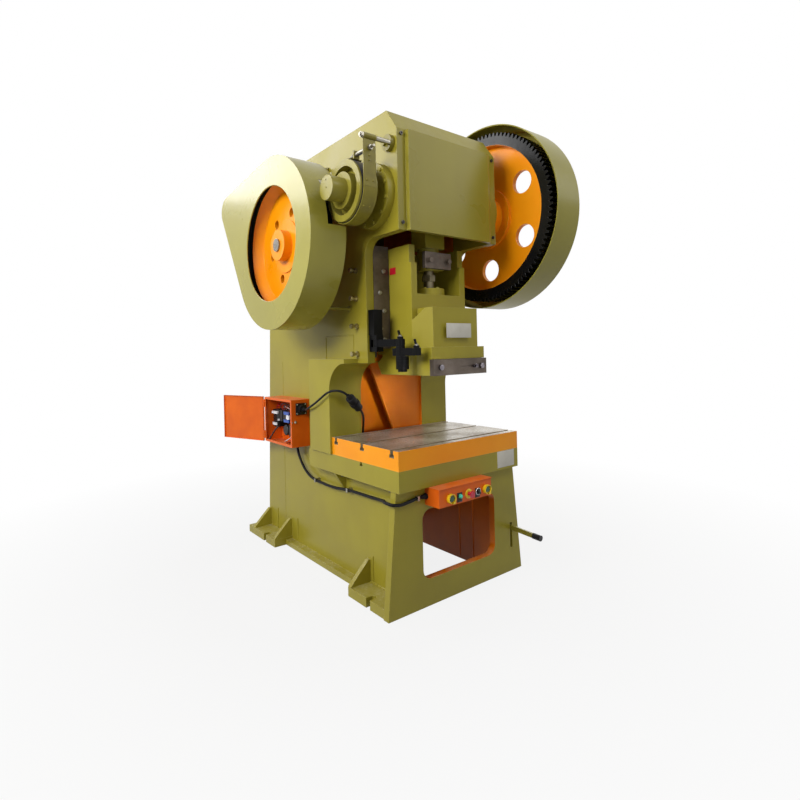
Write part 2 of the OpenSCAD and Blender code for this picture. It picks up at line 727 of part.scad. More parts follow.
module gear_bush() color([0.72, 0.52, 0.22]) difference() {
    union() {
        bar_x(gear_hub_in, gear_hub_out, crank_y, crank_h, journal_r + bush_t);
        bar_x(cheek_x + housing_flange_t + air, gear_hub_in, crank_y, crank_h,
            journal_r + bush_t + 20);
    }
    bar_x(cheek_x, gear_hub_out + 1, crank_y, crank_h, journal_r + run_fit);
}

module gear_guard() color([0.58, 0.56, 0.30]) {
    difference() {
        bar_x(gear_guard_in, gear_guard_out, crank_y, crank_h, gear_guard_r);
        bar_x(gear_guard_in - 1, gear_guard_out - sheet_t, shaft_y, shaft_z, 148 - sheet_t);
        bar_x(gear_guard_in - 1, gear_guard_out - sheet_t, crank_y, crank_h,
            gear_guard_r - sheet_t);
        bar_x(gear_guard_out - sheet_t - 1, gear_guard_out + 1, crank_y, crank_h, 560);
    }
    // Rear bulge over the pinion
    difference() {
        union() {
            bar_x(gear_guard_in, gear_guard_out, shaft_y, shaft_z, 148);
        }
        bar_x(gear_guard_in - 1, gear_guard_out - sheet_t, shaft_y, shaft_z, 148 - sheet_t);
        bar_x(gear_guard_in - 1, gear_guard_out + 1, crank_y, crank_h, gear_guard_r - 2);
    }
    // Feet that reach the side plate
    for (a = [-61, -42, 12, 44]) guard_foot(a);
}
module guard_foot(a) {
    translate([0, crank_y, crank_h]) rotate([a, 0, 0])
        translate([cheek_x, gear_guard_r - 90, -25]) {
            cube([10, 90, 50]);
            translate([0, 80, 0]) cube([gear_guard_in - cheek_x + 40, 7, 50]);
        }
}

module shaft_housings() color([0.56, 0.53, 0.24]) both_sides() difference() {
    union() {
        bar_x(inner_x, cheek_x + 1, shaft_y, shaft_z, shaft_housing_r);
        bar_x(cheek_x, cheek_x + shaft_flange_t, shaft_y, shaft_z, shaft_flange_r);
        for (a = [0:60:300])
            hex_x(cheek_x + shaft_flange_t - 1, cheek_x + shaft_flange_t + 8,
                shaft_y + 97 * cos(a), shaft_z + 97 * sin(a), 10);
    }
    bar_x(inner_x - 1, cheek_x + shaft_flange_t + 9, shaft_y, shaft_z, shaft_r + run_fit);
}
module pinion_shaft() color([0.42, 0.40, 0.38]) difference() {
    union() {
        bar_x(-wheel_x + 5, gear_x + gear_face + 12, shaft_y, shaft_z, shaft_r);
        translate([0, shaft_y, shaft_z]) yz(gear_x - 6, gear_x + gear_face + 6)
            polygon(gear_points(gear_module, pinion_teeth, 180 - pinion_drop));
    }
    for (z = [-12, 12])
        translate([-wheel_x + 4, shaft_y, shaft_z + z]) rotate([0, 90, 0])
            cylinder(h = 12, r = 5, $fn = 24);
}
module flywheel() color([0.96, 0.60, 0.08]) {
    x0 = -wheel_x;
    difference() {
        bar_x(x0, x0 + wheel_w, shaft_y, shaft_z, wheel_r);
        bar_x(x0 - 1, x0 + 20, shaft_y, shaft_z, wheel_r - 18);
        // Dished web behind the rim's slanted inner wall, with a low ring round the hub
        translate([x0 + 19, shaft_y, shaft_z]) rotate([0, 90, 0]) difference() {
            cylinder(h = dish_depth - 19, r1 = rim_in_r + 46, r2 = rim_in_r);
            translate([0, 0, dish_depth - 29]) cylinder(h = 11, r = hub_ring_r);
        }
        bar_x(x0 + dish_depth + 34, x0 + wheel_w + 1, shaft_y, shaft_z, rim_in_r - 20);
        bar_x(x0 - 1, x0 + wheel_w + 1, shaft_y, shaft_z, shaft_r);
        for (i = [0:5])
            bar_x(x0 - 1, x0 + wheel_w, shaft_y + 238 * cos(i * 60 + 50),
                shaft_z + 238 * sin(i * 60 + 50), 32);
        for (i = [0:belts - 1]) difference() {
            belt_slab(i, belt_w / 2 + air, wheel_r + 1);
            belt_slab(i, belt_w, wheel_r - belt_t - air);
        }
    }
    difference() {
        bar_x(x0 + 17, x0 + wheel_w + 36, shaft_y, shaft_z, 108);
        bar_x(x0, x0 + wheel_w + 40, shaft_y, shaft_z, shaft_r);
    }
}
function belt_mid(i) = -belt_x + (i - (belts - 1) / 2) * belt_pitch;
module belt_slab(i, half, r) {
    bar_x(belt_mid(i) - half, belt_mid(i) + half, shaft_y, shaft_z, r);
}
// A slab round the flywheel and the motor pulley, with their two outer tangents
module tear(x0, x1, big, small) {
    dy = motor_y - shaft_y;
    dz = motor_z - shaft_z;
    along = atan2(dz, dy);
    lean = acos((big - small) / norm([dy, dz]));
    b = big - 0.02;
    s = small - 0.02;
    up = [cos(along + lean), sin(along + lean)];
    low = [cos(along - lean), sin(along - lean)];
    bar_x(x0, x1, shaft_y, shaft_z, big);
    bar_x(x0, x1, motor_y, motor_z, small);
    translate([0, shaft_y, shaft_z]) yz(x0, x1)
        polygon([[0, 0], b * up, [dy, dz] + s * up, [dy, dz], [dy, dz] + s * low, b * low]);
}
module v_belts() color([0.07, 0.07, 0.07]) for (i = [0:belts - 1]) difference() {
    tear(belt_mid(i) - belt_w / 2, belt_mid(i) + belt_w / 2, wheel_r + 1, pulley_r + 1);
    tear(belt_mid(i) - belt_w, belt_mid(i) + belt_w, wheel_r - belt_t, pulley_r - belt_t);
}
module motor_pulley() color([0.25, 0.24, 0.22]) {
    x0 = -belt_x - belts * belt_pitch / 2 - 4;
    x1 = -belt_x + belts * belt_pitch / 2 + 4;
    difference() {
        bar_x(x0, x1, motor_y, motor_z, pulley_r);
        bar_x(x0 - 1, x1 + 1, motor_y, motor_z, 21);
        for (i = [0:belts - 1]) difference() {
            bar_x(belt_mid(i) - belt_w / 2 - air, belt_mid(i) + belt_w / 2 + air, motor_y,
                motor_z, pulley_r + 1);
            bar_x(belt_mid(i) - belt_w, belt_mid(i) + belt_w, motor_y, motor_z,
                pulley_r - belt_t - air);
        }
    }
}
motor_in = -560;
motor_out = -150;
module motor_shaft() color([0.55, 0.54, 0.52])
    bar_x(-belt_x - belts * belt_pitch / 2 - 12, motor_in + 60, motor_y, motor_z, 21);
module motor() color([0.35, 0.40, 0.44]) {
    difference() {
        union() {
            bar_x(motor_in + 40, motor_out - 20, motor_y, motor_z, motor_r);
            bar_x(motor_in, motor_in + 41, motor_y, motor_z, motor_r + 16);
            bar_x(motor_in - 14, motor_in + 1, motor_y, motor_z, 60);
            for (a = [0:15:345]) if (a < 232 || a > 308)
                translate([motor_in + 40, motor_y, motor_z]) rotate([a, 0, 0])
                    translate([0, motor_r - 2, -2.5]) cube([motor_out - motor_in - 60, 16, 5]);
        }
        bar_x(motor_in - 15, motor_in + 62, motor_y, motor_z, 21 + run_fit);
    }
    // Fan cowl, terminal box and feet
    bar_x(motor_out - 21, motor_out + 90, motor_y, motor_z, motor_r + 12);
    block(motor_in + 110, motor_in + 250, motor_y - 75, motor_y + 75, motor_z + motor_r - 6,
        motor_z + motor_r + 78);
    for (x = [motor_in + 70, motor_out - 110])
        block(x, x + 60, motor_y - 126, motor_y + 126, deck_h + 55, motor_z - motor_r + 34);
}
module motor_base() color([0.42, 0.40, 0.20]) difference() {
    block(motor_in + 20, motor_out + 20, motor_y - 150, motor_y + 150, deck_h, deck_h + 55);
    block(motor_in + 80, motor_out - 40, motor_y - 90, motor_y + 90, deck_h - 1, deck_h + 56);
}

module flywheel_guard() color([0.60, 0.58, 0.30]) difference() {
    tear(-guard_x, -guard_x + guard_d, guard_r, guard_tip_r);
    tear(-guard_x + sheet_t, -guard_x + guard_d + 1, guard_r - sheet_t, guard_tip_r - sheet_t);
    bar_x(-guard_x - 1, -guard_x + sheet_t + 1, shaft_y, shaft_z, guard_hole_r);
    // Notch that clears the end of the crank and its brake
    block(-guard_x + 124, -guard_x + guard_d + 1, behind(300), behind(700),
        crank_h - 192, crank_h + 112);
}
// Rods from the side plate to the guard's rim and to its small end
module guard_stays() color([0.50, 0.48, 0.28]) {
    for (a = [-127, -62])
        translate([0, shaft_y + (guard_r - sheet_t - 10) * cos(a),
            shaft_z + (guard_r - sheet_t - 10) * sin(a)]) {
                rotate([0, -90, 0]) translate([0, 0, cheek_x])
                    cylinder(h = guard_x - sheet_t - cheek_x, r = 10);
                rotate([0, -90, 0]) translate([0, 0, cheek_x]) cylinder(h = 12, r = 19, $fn = 6);
            }
    // Ties that carry the guard's upper rim on the head's side
    for (a = [72, 100])
        translate([0, shaft_y + (guard_r - sheet_t - 10) * cos(a),
            shaft_z + (guard_r - sheet_t - 10) * sin(a)]) {
                rotate([0, -90, 0]) translate([0, 0, cheek_x])
                    cylinder(h = guard_x - sheet_t - cheek_x, r = 10);
                rotate([0, -90, 0]) translate([0, 0, cheek_x]) cylinder(h = 12, r = 19, $fn = 6);
            }
}

// Slide: column with wings, rear guide flange and a foot that reaches forward
ring_top = deck_z + 46;
module slide_ram() color([0.62, 0.60, 0.28]) {
    w = slide_w / 2;
    ww = wing_w / 2;
    fw = foot_w / 2;
    guide_y = web_y - slide_fit;
    difference() {
        union() {
            block(-w, w, slide_face, guide_y - 8, slide_low + 100, deck_z);
            block(-ww, -w + 8, wing_face, guide_y - 8, slide_low + 140, wing_top);
            block(ww, w - 8, wing_face, guide_y - 8, slide_low + 140, wing_top);
            block(-ww, -w + 8, slide_face, wing_face + 1, slide_low + 140, wing_top - 120);
            block(ww, w - 8, slide_face, wing_face + 1, slide_low + 140, wing_top - 120);
            block(-guide_w / 2, guide_w / 2, guide_y - guide_d, guide_y, flange_low, wing_top);
            block(6 - w, w - 6, foot_face, slide_face + 1, slide_low + 181, 1868);
            intersection() {
                yz(-ww - 2, ww + 2) polygon([[foot_face, 1868], [foot_face + 48, 1868],
                    [behind(590), 1508], [behind(545), slide_low], [foot_face, slide_low]]);
                translate([0, 0, slide_low]) linear_extrude(500) polygon([[-w + 4, foot_face - 1],
                    [w - 4, foot_face - 1], [ww + 2, behind(200)], [ww + 2, behind(600)],
                    [-ww - 2, behind(600)], [-ww - 2, behind(200)]]);
            }
            difference() {
                block(-fw, fw, sill_face, behind(545), slide_low, slide_low + 181);
                block(-fw - 1, fw + 1, sill_face - 1, foot_face, slide_low - 1,
                    slide_low + clamp_z);
            }
        }
        translate([0, crank_y, slide_low - 1]) cylinder(h = shank_d + 1, r = shank_r);
        // Room for the rod's foot, seat of the ball and thread of the shank clamp
        translate([0, crank_y, deck_z - 70]) cylinder(h = 71, r = 76);
        translate([0, crank_y, deck_z - 70]) sphere(r = 62 + 0.02, $fn = 96);
        block(-60, 60, foot_face - 1, crank_y - shank_r - 26, slide_low - 1,
            slide_low + clamp_z);
        for (x = [-185, 185])
            bar_y(x, foot_face - 1, foot_face + 60, slide_low + clamp_z / 2, 12);
    }
}
// The rod's lower face stays above the retaining ring over the whole stroke
rod_foot = deck_z + 170;
module ball_screw() color([0.48, 0.46, 0.42]) {
    translate([0, crank_y, deck_z - 70]) sphere(r = 62);
    translate([0, crank_y, deck_z - 40]) cylinder(h = rod_foot + 190 - deck_z + 40, r = screw_r);
    translate([0, crank_y, deck_z + 100]) cylinder(h = 44, r = screw_r + 12, $fn = 6);
}
module ball_ring() color([0.60, 0.57, 0.27]) {
    difference() {
        union() {
            translate([0, crank_y, deck_z]) cylinder(h = ring_top - deck_z, r = ball_ring_r);
            translate([0, crank_y, deck_z - 30]) cylinder(h = 31, r = 75.8);
        }
        translate([0, crank_y, deck_z - 31]) cylinder(h = ring_top, r = screw_r + 8);
        translate([0, crank_y, deck_z - 70]) sphere(r = 62 + 0.4, $fn = 96);
    }
    for (a = [30:60:330])
        translate([ball_ring_r * 0.84 * cos(a), crank_y + ball_ring_r * 0.84 * sin(a),
            ring_top - 1]) cylinder(h = 9, r = 9, $fn = 6);
}

// Connecting rod: the slide carries it, so its eye is long to the side where the pin swings
big_end_z = crank_h + throw;
rod_w = 172;
eye_r = crankpin_r + air;
rod_outer_r = crankpin_r + 46;
rod_bolt_y = [crank_y - throw - rod_outer_r - 12, crank_y + rod_outer_r + 12];
module pin_path() {
    for (a = concat([0, 5, 10], [for (i = [15:15:165]) i], [170, 175, 180])) {
        y = crank_y - throw * sin(a);
        z = big_end_z + throw * cos(a) - throw + stroke * a / 180;
        bar_x(-rod_w, rod_w, y, z, eye_r + (a > 0 && a < 180 ? 1.2 : 0));
    }
    block(-rod_w, rod_w, crank_y - throw, crank_y, big_end_z - eye_r - 3, big_end_z + eye_r + 3);
}
module connecting_rod() color([0.50, 0.48, 0.26]) difference() {
    union() {
        intersection() {
            union() {
                bar_x(-rod_w / 2, rod_w / 2, crank_y, big_end_z, crankpin_r + 46);
                block(-rod_w / 2, rod_w / 2, crank_y - throw, crank_y,
                    big_end_z - crankpin_r - 46, big_end_z + crankpin_r + 46);
                bar_x(-rod_w / 2, rod_w / 2, crank_y - throw, big_end_z, crankpin_r + 46);
                block(-rod_w / 2, rod_w / 2, rod_bolt_y[0] - 23, rod_bolt_y[1] + 25, big_end_z - 50,
                    big_end_z + 50);
            }
            block(-rod_w, rod_w, crank_y - 400, crank_y + 400, big_end_z - 400, big_end_z);
        }
        translate([0, crank_y, rod_foot]) cylinder(h = big_end_z - eye_r - rod_foot, r = 74);
        block(-rod_w / 2, rod_w / 2, crank_y - 74, crank_y + 74, rod_foot + 150,
            big_end_z - eye_r - 6);
        block(-80, 80, crank_y - 74, crank_y, rod_foot + 4, rod_foot + 122);
    }
    pin_path();
    translate([0, crank_y, rod_foot - 1]) cylinder(h = 194, r = screw_r + 0.02);
    for (y = rod_bolt_y, x = [-48, 48])
        translate([x, y, big_end_z - 60]) cylinder(h = 61, r = 14);
}
module rod_cap() color([0.50, 0.48, 0.26]) difference() {
    intersection() {
        union() {
            bar_x(-rod_w / 2, rod_w / 2, crank_y, big_end_z, crankpin_r + 46);
            block(-rod_w / 2, rod_w / 2, crank_y - throw, crank_y,
                big_end_z - crankpin_r - 46, big_end_z + crankpin_r + 46);
            bar_x(-rod_w / 2, rod_w / 2, crank_y - throw, big_end_z, crankpin_r + 46);
            block(-rod_w / 2, rod_w / 2, rod_bolt_y[0] - 23, rod_bolt_y[1] + 25, big_end_z - 50,
                big_end_z + 50);
        }
        block(-rod_w, rod_w, crank_y - 400, crank_y + 400, big_end_z, big_end_z + 400);
    }
    pin_path();
    for (y = rod_bolt_y, x = [-48, 48])
        translate([x, y, big_end_z - 1]) cylinder(h = 61, r = 14);
}
module rod_bolts() color([0.45, 0.43, 0.40])
    for (y = rod_bolt_y, x = [-48, 48]) translate([x, y, big_end_z]) {
        translate([0, 0, -60]) cylinder(h = 120, r = 14);
        translate([0, 0, 50]) cylinder(h = 18, r = 20, $fn = 6);
        translate([0, 0, -66]) cylinder(h = 16, r = 20, $fn = 6);
    }
module screw_clamp() color([0.40, 0.34, 0.29]) {
    y = crank_y - 74;
    difference() {
        block(-118, 118, y - 30, y, rod_foot + 8, rod_foot + 118);
    }
    for (x = [-84, 84]) {
        bar_y(x, y - 44, y - 29, rod_foot + 60, 15);
        hex_y(x, y - 56, y - 43, rod_foot + 60, 18);
    }
}

// Plate that clamps a die's shank, with its tongue, studs and set screw
module shank_clamp() color([0.40, 0.34, 0.29]) difference() {
    union() {
        block(-foot_w / 2, foot_w / 2, behind(2), foot_face, slide_low, slide_low + clamp_z - 1);
        block(-59, 59, foot_face - 1, crank_y - shank_r - 27, slide_low, slide_low + clamp_z - 1);
    }
    for (x = [-185, 185])
        bar_y(x, behind(1), foot_face + 1, slide_low + clamp_z / 2, 12);
    bar_y(125, behind(1), behind(20), slide_low + clamp_z / 2, 13);
    block(0, foot_w / 2 - 85, behind(1), behind(8), slide_low + clamp_z / 2 - 6,
        slide_low + clamp_z / 2 + 6);
}
module clamp_screws() color([0.50, 0.48, 0.44]) {
    z = slide_low + clamp_z / 2;
    for (x = [-185, 185]) {
        bar_y(x, behind(-16), foot_face + 58, z, 12);
        hex_y(x, behind(-14), behind(2), z, 20);
    }
    bar_y(125, behind(-4), behind(20), z, 13);
    block(115, 135, behind(-22), behind(-3), z - 10, z + 10);
}
module stroke_pointer() color([0.75, 0.10, 0.15])
    block(-wing_w / 2 - 2.5, -wing_w / 2, behind(360), behind(424), 2112, 2158);

// Electrical box, open to the left, its door on hinges at the rear edge
hinge_r = 7;
hinge_x = -box_x - 4;
hinge_y = box_y + box_w + 9;
module electrical_box() color([0.88, 0.40, 0.12]) {
    t = 2.5;
    difference() {
        block(-box_x, -cheek_x, box_y, box_y + box_w, box_z, box_z + box_h);
        block(-box_x - 1, -cheek_x - t, box_y + t, box_y + box_w - t, box_z + t,
            box_z + box_h - t);
        bar_y(-514, box_y - 1, box_y + t + 1, socket_z, 24);
        translate([-474, box_y + 150, box_z - 1]) cylinder(h = t + 2, r = 12);
    }
    // Return lip round the opening
    difference() {
        block(-box_x, -box_x + t, box_y, box_y + box_w, box_z, box_z + box_h);
        block(-box_x - 1, -box_x + t + 1, box_y + 18, box_y + box_w - 18, box_z + 18,
            box_z + box_h - 18);
    }
    // Hinge pin with its two lugs
    translate([hinge_x, hinge_y, box_z + 20]) cylinder(h = box_h - 40, r = 4, $fn = 32);
    for (z = [box_z + 20, box_z + box_h - 44])
        difference() {
            union() {
                translate([hinge_x, hinge_y, z]) cylinder(h = 24, r = hinge_r, $fn = 48);
                block(hinge_x + 4, hinge_x + 10, box_y + box_w - 1, hinge_y, z, z + 24);
            }
        }
}
module box_door() color([0.88, 0.40, 0.12])
    translate([hinge_x, hinge_y, 0]) rotate([0, 0, -door_open]) {
        // Drawn closed, then swung about the pin
        difference() {
            union() {
                difference() {
                    block(-10, 3, -box_w - 8, -9, box_z - 3, box_z + box_h + 3);
                    block(-7.5, 4, -box_w - 5.5, -11.5, box_z - 0.5, box_z + box_h + 0.5);
                }
                for (z = [box_z + 45, box_z + box_h - 85])
                    translate([0, 0, z]) {
                        cylinder(h = 40, r = hinge_r, $fn = 48);
                        translate([-10, -12, 0]) cube([5, 13, 40]);
                    }
            }
            for (z = [box_z + 44, box_z + box_h - 86])
                translate([0, 0, z]) cylinder(h = 42, r = 4 + run_fit, $fn = 48);
        }
    }
module contactors() color([0.16, 0.16, 0.17]) {
    x = -cheek_x - 2.5;
    block(x - 8, x, box_y + 60, box_y + 430, box_z + 200, box_z + 235);
    for (i = [0:3])
        block(x - 88, x - 8, box_y + 80 + i * 72, box_y + 136 + i * 72, box_z + 172, box_z + 262);
    block(x - 8, x, box_y + 60, box_y + 430, box_z + 80, box_z + 100);
    for (i = [0:9])
        block(x - 48, x - 8, box_y + 70 + i * 27, box_y + 94 + i * 27, box_z + 66, box_z + 114);
    block(x - 96, x - 0, box_y + 370, box_y + 440, box_z + 120, box_z + 186);
}
socket_z = box_z + 295;
module box_socket() color([0.08, 0.08, 0.09]) {
    translate([-514, box_y, socket_z]) rotate([90, 0, 0]) difference() {
        union() {
            translate([-46, -46, 0]) cube([92, 92, 8]);
            cylinder(h = 40, r = 32);
            translate([0, 0, -18]) cylinder(h = 19, r = 24);
        }
        translate([0, 0, 18]) cylinder(h = 23, r = 10);
    }
}

// Round tube swept along a route, its rings kept from twisting
function unit(v) = v / norm(v);
function tangent(p, i) = unit(p[min(i + 1, len(p) - 1)] - p[max(i - 1, 0)]);
function upright(v, t) = unit(v - (v * t) * t);
function rounded(p) = [for (i = [0:len(p) - 2]) let (
        a = p[max(i - 1, 0)], b = p[i], c = p[i + 1], d = p[min(i + 2, len(p) - 1)])
    for (u = [0, 0.5]) 0.5 * (2 * b + (c - a) * u + (2 * a - 5 * b + 4 * c - d) * u * u
        + (3 * b - a - 3 * c + d) * u * u * u), p[len(p) - 1]];
module tube(route, r, sides) {
    p = rounded(route);
    n = len(p);
    first = upright([0.31, 0.17, 0.93], tangent(p, 0));
    frames = [for (i = 0, v = first; i < n; i = i + 1,
        v = i < n ? upright(v, tangent(p, i)) : v) v];
    points = [for (i = [0:n - 1]) let (t = tangent(p, i), v = frames[i], w = cross(t, v))
        for (k = [0:sides - 1]) p[i] + r * (cos(360 * k / sides) * v + sin(360 * k / sides) * w)];
    polyhedron(points, [
        [for (k = [0:sides - 1]) k],
        for (i = [0:n - 2]) for (k = [0:sides - 1]) let (j = (k + 1) % sides)
            [i * sides + k, (i + 1) * sides + k, (i + 1) * sides + j, i * sides + j],
        [for (k = [sides - 1:-1:0]) (n - 1) * sides + k]], convexity = 6);
}
socket_route = [[-514, 207, 1157], [-514, 186, 1157], [-518, 150, 1157], [-542, 90, 1160],
    [-576, 20, 1172], [-590, -60, 1198], [-590, -140, 1232], [-588, -220, 1272],
    [-582, -300, 1312], [-566, -372, 1330], [-532, -416, 1322], [-494, -424, 1296]];
drop_route = [[-372, -372, 1196], [-340, -352, 1172], [-306, -322, 1140], [-278, -290, 1100],
    [-262, -262, 1050], [-254, -244, 1000], [-251, -237, 950], [-250, -235, 905],
    [-250, -235, 878], [-250, -235, 852]];
plug_from = [-494, -424, 1296];
plug_to = [-372, -372, 1196];
panel_route = [[-474, 375, 874], [-474, 375, 845], [-474, 370, 815], [-474, 348, 770],
    [-474, 300, 715], [-474, 235, 665], [-474, 160, 634], [-474, 80, 622], [-474, -10, 618],
    [-474, -100, 616], [-474, -190, 618], [-474, -280, 626], [-474, -370, 634],
    [-474, -460, 638], [-474, -550, 640], [-474, -640, 642], [-477, -720, 646],
    [-490, -790, 654], [-516, -845, 666], [-546, -885, 678], [-568, -925, 686],
    [-578, -962, 689], [-572, -994, 687], [-548, -1006, 682], [-510, -1002, 676],
    [-466, -1000, 678], [-420, -1000, 684], [-376, -1000, 690], [-334, -1000, 690],
    [-300, -1000, 690]];
lead_r = 8;
panel_lead_r = 10;
module socket_lead() color([0.06, 0.06, 0.07]) {
    tube(socket_route, lead_r, 8);
    tube(drop_route, lead_r, 8);
}
module panel_lead() color([0.06, 0.06, 0.07]) tube(panel_route, panel_lead_r, 8);
// Turns what is drawn along +Z from the origin so that it runs from a to b
module along_line(a, b) {
    d = b - a;
    translate(a) rotate([0, acos(d[2] / norm(d)), atan2(d[1], d[0])]) children();
}
module lead_plug() color([0.07, 0.07, 0.08]) along_line(plug_from, plug_to) {
    l = norm(plug_to - plug_from);
    cylinder(h = 34, r1 = 13, r2 = 20);
    translate([0, 0, 33]) cylinder(h = l * 0.36, r = 31);
    translate([0, 0, 33 + l * 0.36 - 1]) cylinder(h = 24, r = 36);
    translate([0, 0, 55 + l * 0.36]) cylinder(h = l - 55 - l * 0.36, r = 30);
}
clip_at = [[-474, 80, 622], [-474, -370, 634]];
module cable_clips() color([0.62, 0.60, 0.55]) {
    for (p = clip_at) difference() {
        block(p[0] - 14, -cheek_x, p[1] - 9, p[1] + 9, p[2] - 14, p[2] + 14);
        bar_y(p[0], p[1] - 10, p[1] + 10, p[2], panel_lead_r + 1);
    }
    difference() {
        block(-384, -368, -1014, plate_y, 676, 704);
        bar_x(-385, -367, -1000, 690, panel_lead_r + 1);
    }
}

// Control panel hung under the table block
function panel_item(i) = panel_mid + 21 + (i - 2) * panel_pitch;
item_z = panel_z + 46;
module panel_box() color([0.88, 0.40, 0.12]) {
    x0 = panel_mid - panel_w / 2;
    x1 = panel_mid + panel_w / 2;
    t = 2.5;
    difference() {
        block(x0, x1, panel_y, plate_y, panel_z, panel_z + panel_h);
        block(x0 + t, x1 - t, panel_y + t, plate_y - t, panel_z + t, panel_z + panel_h - t);
        for (i = [0:4]) bar_y(panel_item(i), panel_y - 1, panel_y + t + 1, item_z, button_r);
        bar_x(x0 - 1, x0 + t + 1, -1000, 690, 11);
    }
    // Sheet hood over the front
    block(x0 - 4, x1 + 4, panel_y - 8, plate_y, panel_z + panel_h, panel_z + panel_h + 2);
}
module button_shrouds() color([0.96, 0.82, 0.10]) for (i = [0, 4])
    translate([panel_item(i), panel_y, item_z]) rotate([90, 0, 0]) difference() {
        union() {
            cylinder(h = 24, r = 30);
            translate([4, -34, 0]) cube([26, 14, 20]);
        }
        translate([0, 0, 4]) cylinder(h = 21, r = 25);
        translate([0, 0, -1]) cylinder(h = 8, r = button_r + 0.3);
        translate([-8, -40, 5]) cube([16, 22, 30]);
    }
module push_button(i) {
    translate([panel_item(i), panel_y, item_z]) rotate([90, 0, 0]) {
        translate([0, 0, -24]) cylinder(h = 40, r = button_r - run_fit);
        translate([0, 0, 12]) cylinder(h = 6, r = button_r + 6);
    }
}
module left_button() color([0.05, 0.25, 0.14]) push_button(0);
module right_button() color([0.05, 0.25, 0.14]) push_button(4);
module pilot_lamp() color([0.25, 0.85, 0.65])
    translate([panel_item(1), panel_y, item_z]) rotate([90, 0, 0]) {
        translate([0, 0, -20]) cylinder(h = 22, r = button_r);
        cylinder(h = 6, r = 17);
        translate([0, 0, 5]) cylinder(h = 12, r = 13);
    }
module stop_button() color([0.80, 0.10, 0.18])
    translate([panel_item(2), panel_y, item_z]) rotate([90, 0, 0]) {
        translate([0, 0, -24]) cylinder(h = 50, r = button_r - run_fit);
        translate([0, 0, 22]) cylinder(h = 7, r1 = 14, r2 = 21);
        translate([0, 0, 29]) cylinder(h = 8, r = 21);
    }
module selector_knob() color([0.10, 0.10, 0.11])
    translate([panel_item(3), panel_y, item_z]) rotate([90, 0, 0]) {
        translate([0, 0, -20]) cylinder(h = 22, r = button_r - run_fit);
        translate([0, 0, air]) cylinder(h = 9, r = 18);
        rotate([0, 0, 40]) translate([-5, -17, 8]) cube([10, 34, 14]);
    }

// Foot lever on a pin in the right side plate, out through the slot in the front plate
module lever_pivot() color([0.50, 0.48, 0.44]) {
    bar_x(cheek_x - 30, lever_x + 22, behind(lever_back), lever_h, 12);
    bar_x(cheek_x, lever_x - 18, behind(lever_back), lever_h, 22);
    hex_x(lever_x + 22, lever_x + 34, behind(lever_back), lever_h, 18);
}
module foot_lever() color([0.55, 0.53, 0.25]) difference() {
    union() {
        bar_x(lever_x - 17, lever_x + 17, behind(lever_back), lever_h, 30);
        translate([lever_x - 7, behind(lever_back), lever_h])
            rotate([3, 0, 0]) translate([0, 20 - lever_l, -16]) cube([14, lever_l - 20, 32]);
        translate([lever_x - 7, behind(lever_back) - 4, lever_h - 14]) cube([14, 120, 28]);
    }
    bar_x(lever_x - 20, lever_x + 20, behind(lever_back), lever_h, 12 + run_fit);
}
module lever_grip() color([0.08, 0.08, 0.08])
    translate([lever_x, behind(lever_back), lever_h]) rotate([3, 0, 0])
        difference() {
            translate([0, 62 - lever_l, 0]) rotate([90, 0, 0]) cylinder(h = 62, r = 20);
            translate([-7, 20 - lever_l, -16]) cube([14, lever_l, 32]);
        }

// Jointed arm on the left side plate's front edge, with its clamp levers and its head
arm_x = -395;
arm_y = behind(381);
arm_z = 1645;
arm_l = 195;
arm_turn = -78;
arm_h = 48;
pin_r = 12;
elbow_x = arm_x + arm_l * cos(arm_turn);
elbow_y = arm_y + arm_l * sin(arm_turn);
elbow_z = arm_z - 60;
module arm_bracket() color([0.08, 0.08, 0.09]) {
    y = behind(cheek_front);
    block(arm_x - 34, arm_x + 36, y - 62, y, 1700, 1868);
    block(arm_x - 30, arm_x + 30, y - 16, y, 1590, 1701);
    for (z = [arm_z + arm_h / 2 + 1, arm_z - arm_h / 2 - 31])
        block(arm_x - 28, arm_x + 28, arm_y - 26, y - 1, z, z + 30);
    translate([arm_x, arm_y, arm_z - 54]) cylinder(h = 108, r = pin_r);
}
// Clamp boss with its lever on top of a knuckle
module arm_clamp(z) {
    translate([0, 0, z - 1]) cylinder(h = 15, r = 20);
    translate([0, 0, z + 12]) rotate([24, 0, 0]) translate([-6, -5, 0]) cube([12, 10, 46]);
}
module first_arm() color([0.08, 0.08, 0.09]) translate([arm_x, arm_y, arm_z])
    rotate([0, 0, arm_turn]) difference() {
        union() {
            cylinder(h = arm_h, r = 30, center = true);
            translate([0, -19, -arm_h / 2]) cube([arm_l, 38, arm_h]);
            translate([arm_l, 0, 0]) cylinder(h = arm_h, r = 30, center = true);
            translate([arm_l, 0, 0]) arm_clamp(arm_h / 2);
        }
        cylinder(h = arm_h + 2, r = pin_r + run_fit, center = true);
        translate([arm_l, 0, -arm_h / 2 - 1]) cylinder(h = 34, r = pin_r + run_fit);
    }
module second_arm() color([0.08, 0.08, 0.09])
    translate([elbow_x, elbow_y, elbow_z]) rotate([0, 0, arm_turn]) {
        top = arm_z - elbow_z - arm_h / 2 - 0.5;
        translate([0, 0, -28]) cylinder(h = top + 28, r = 30);
        translate([0, 0, top - 1]) cylinder(h = 28, r = pin_r);
        translate([-52, -19, -24]) cube([182, 38, arm_h]);
        translate([130, 0, -24]) cylinder(h = arm_h, r = 28);
        translate([130, 0, 0]) arm_clamp(24);
        translate([14, 0, -110]) cylinder(h = 84, r = 42);
        translate([14, 0, -126]) cylinder(h = 17, r = 30);
    }

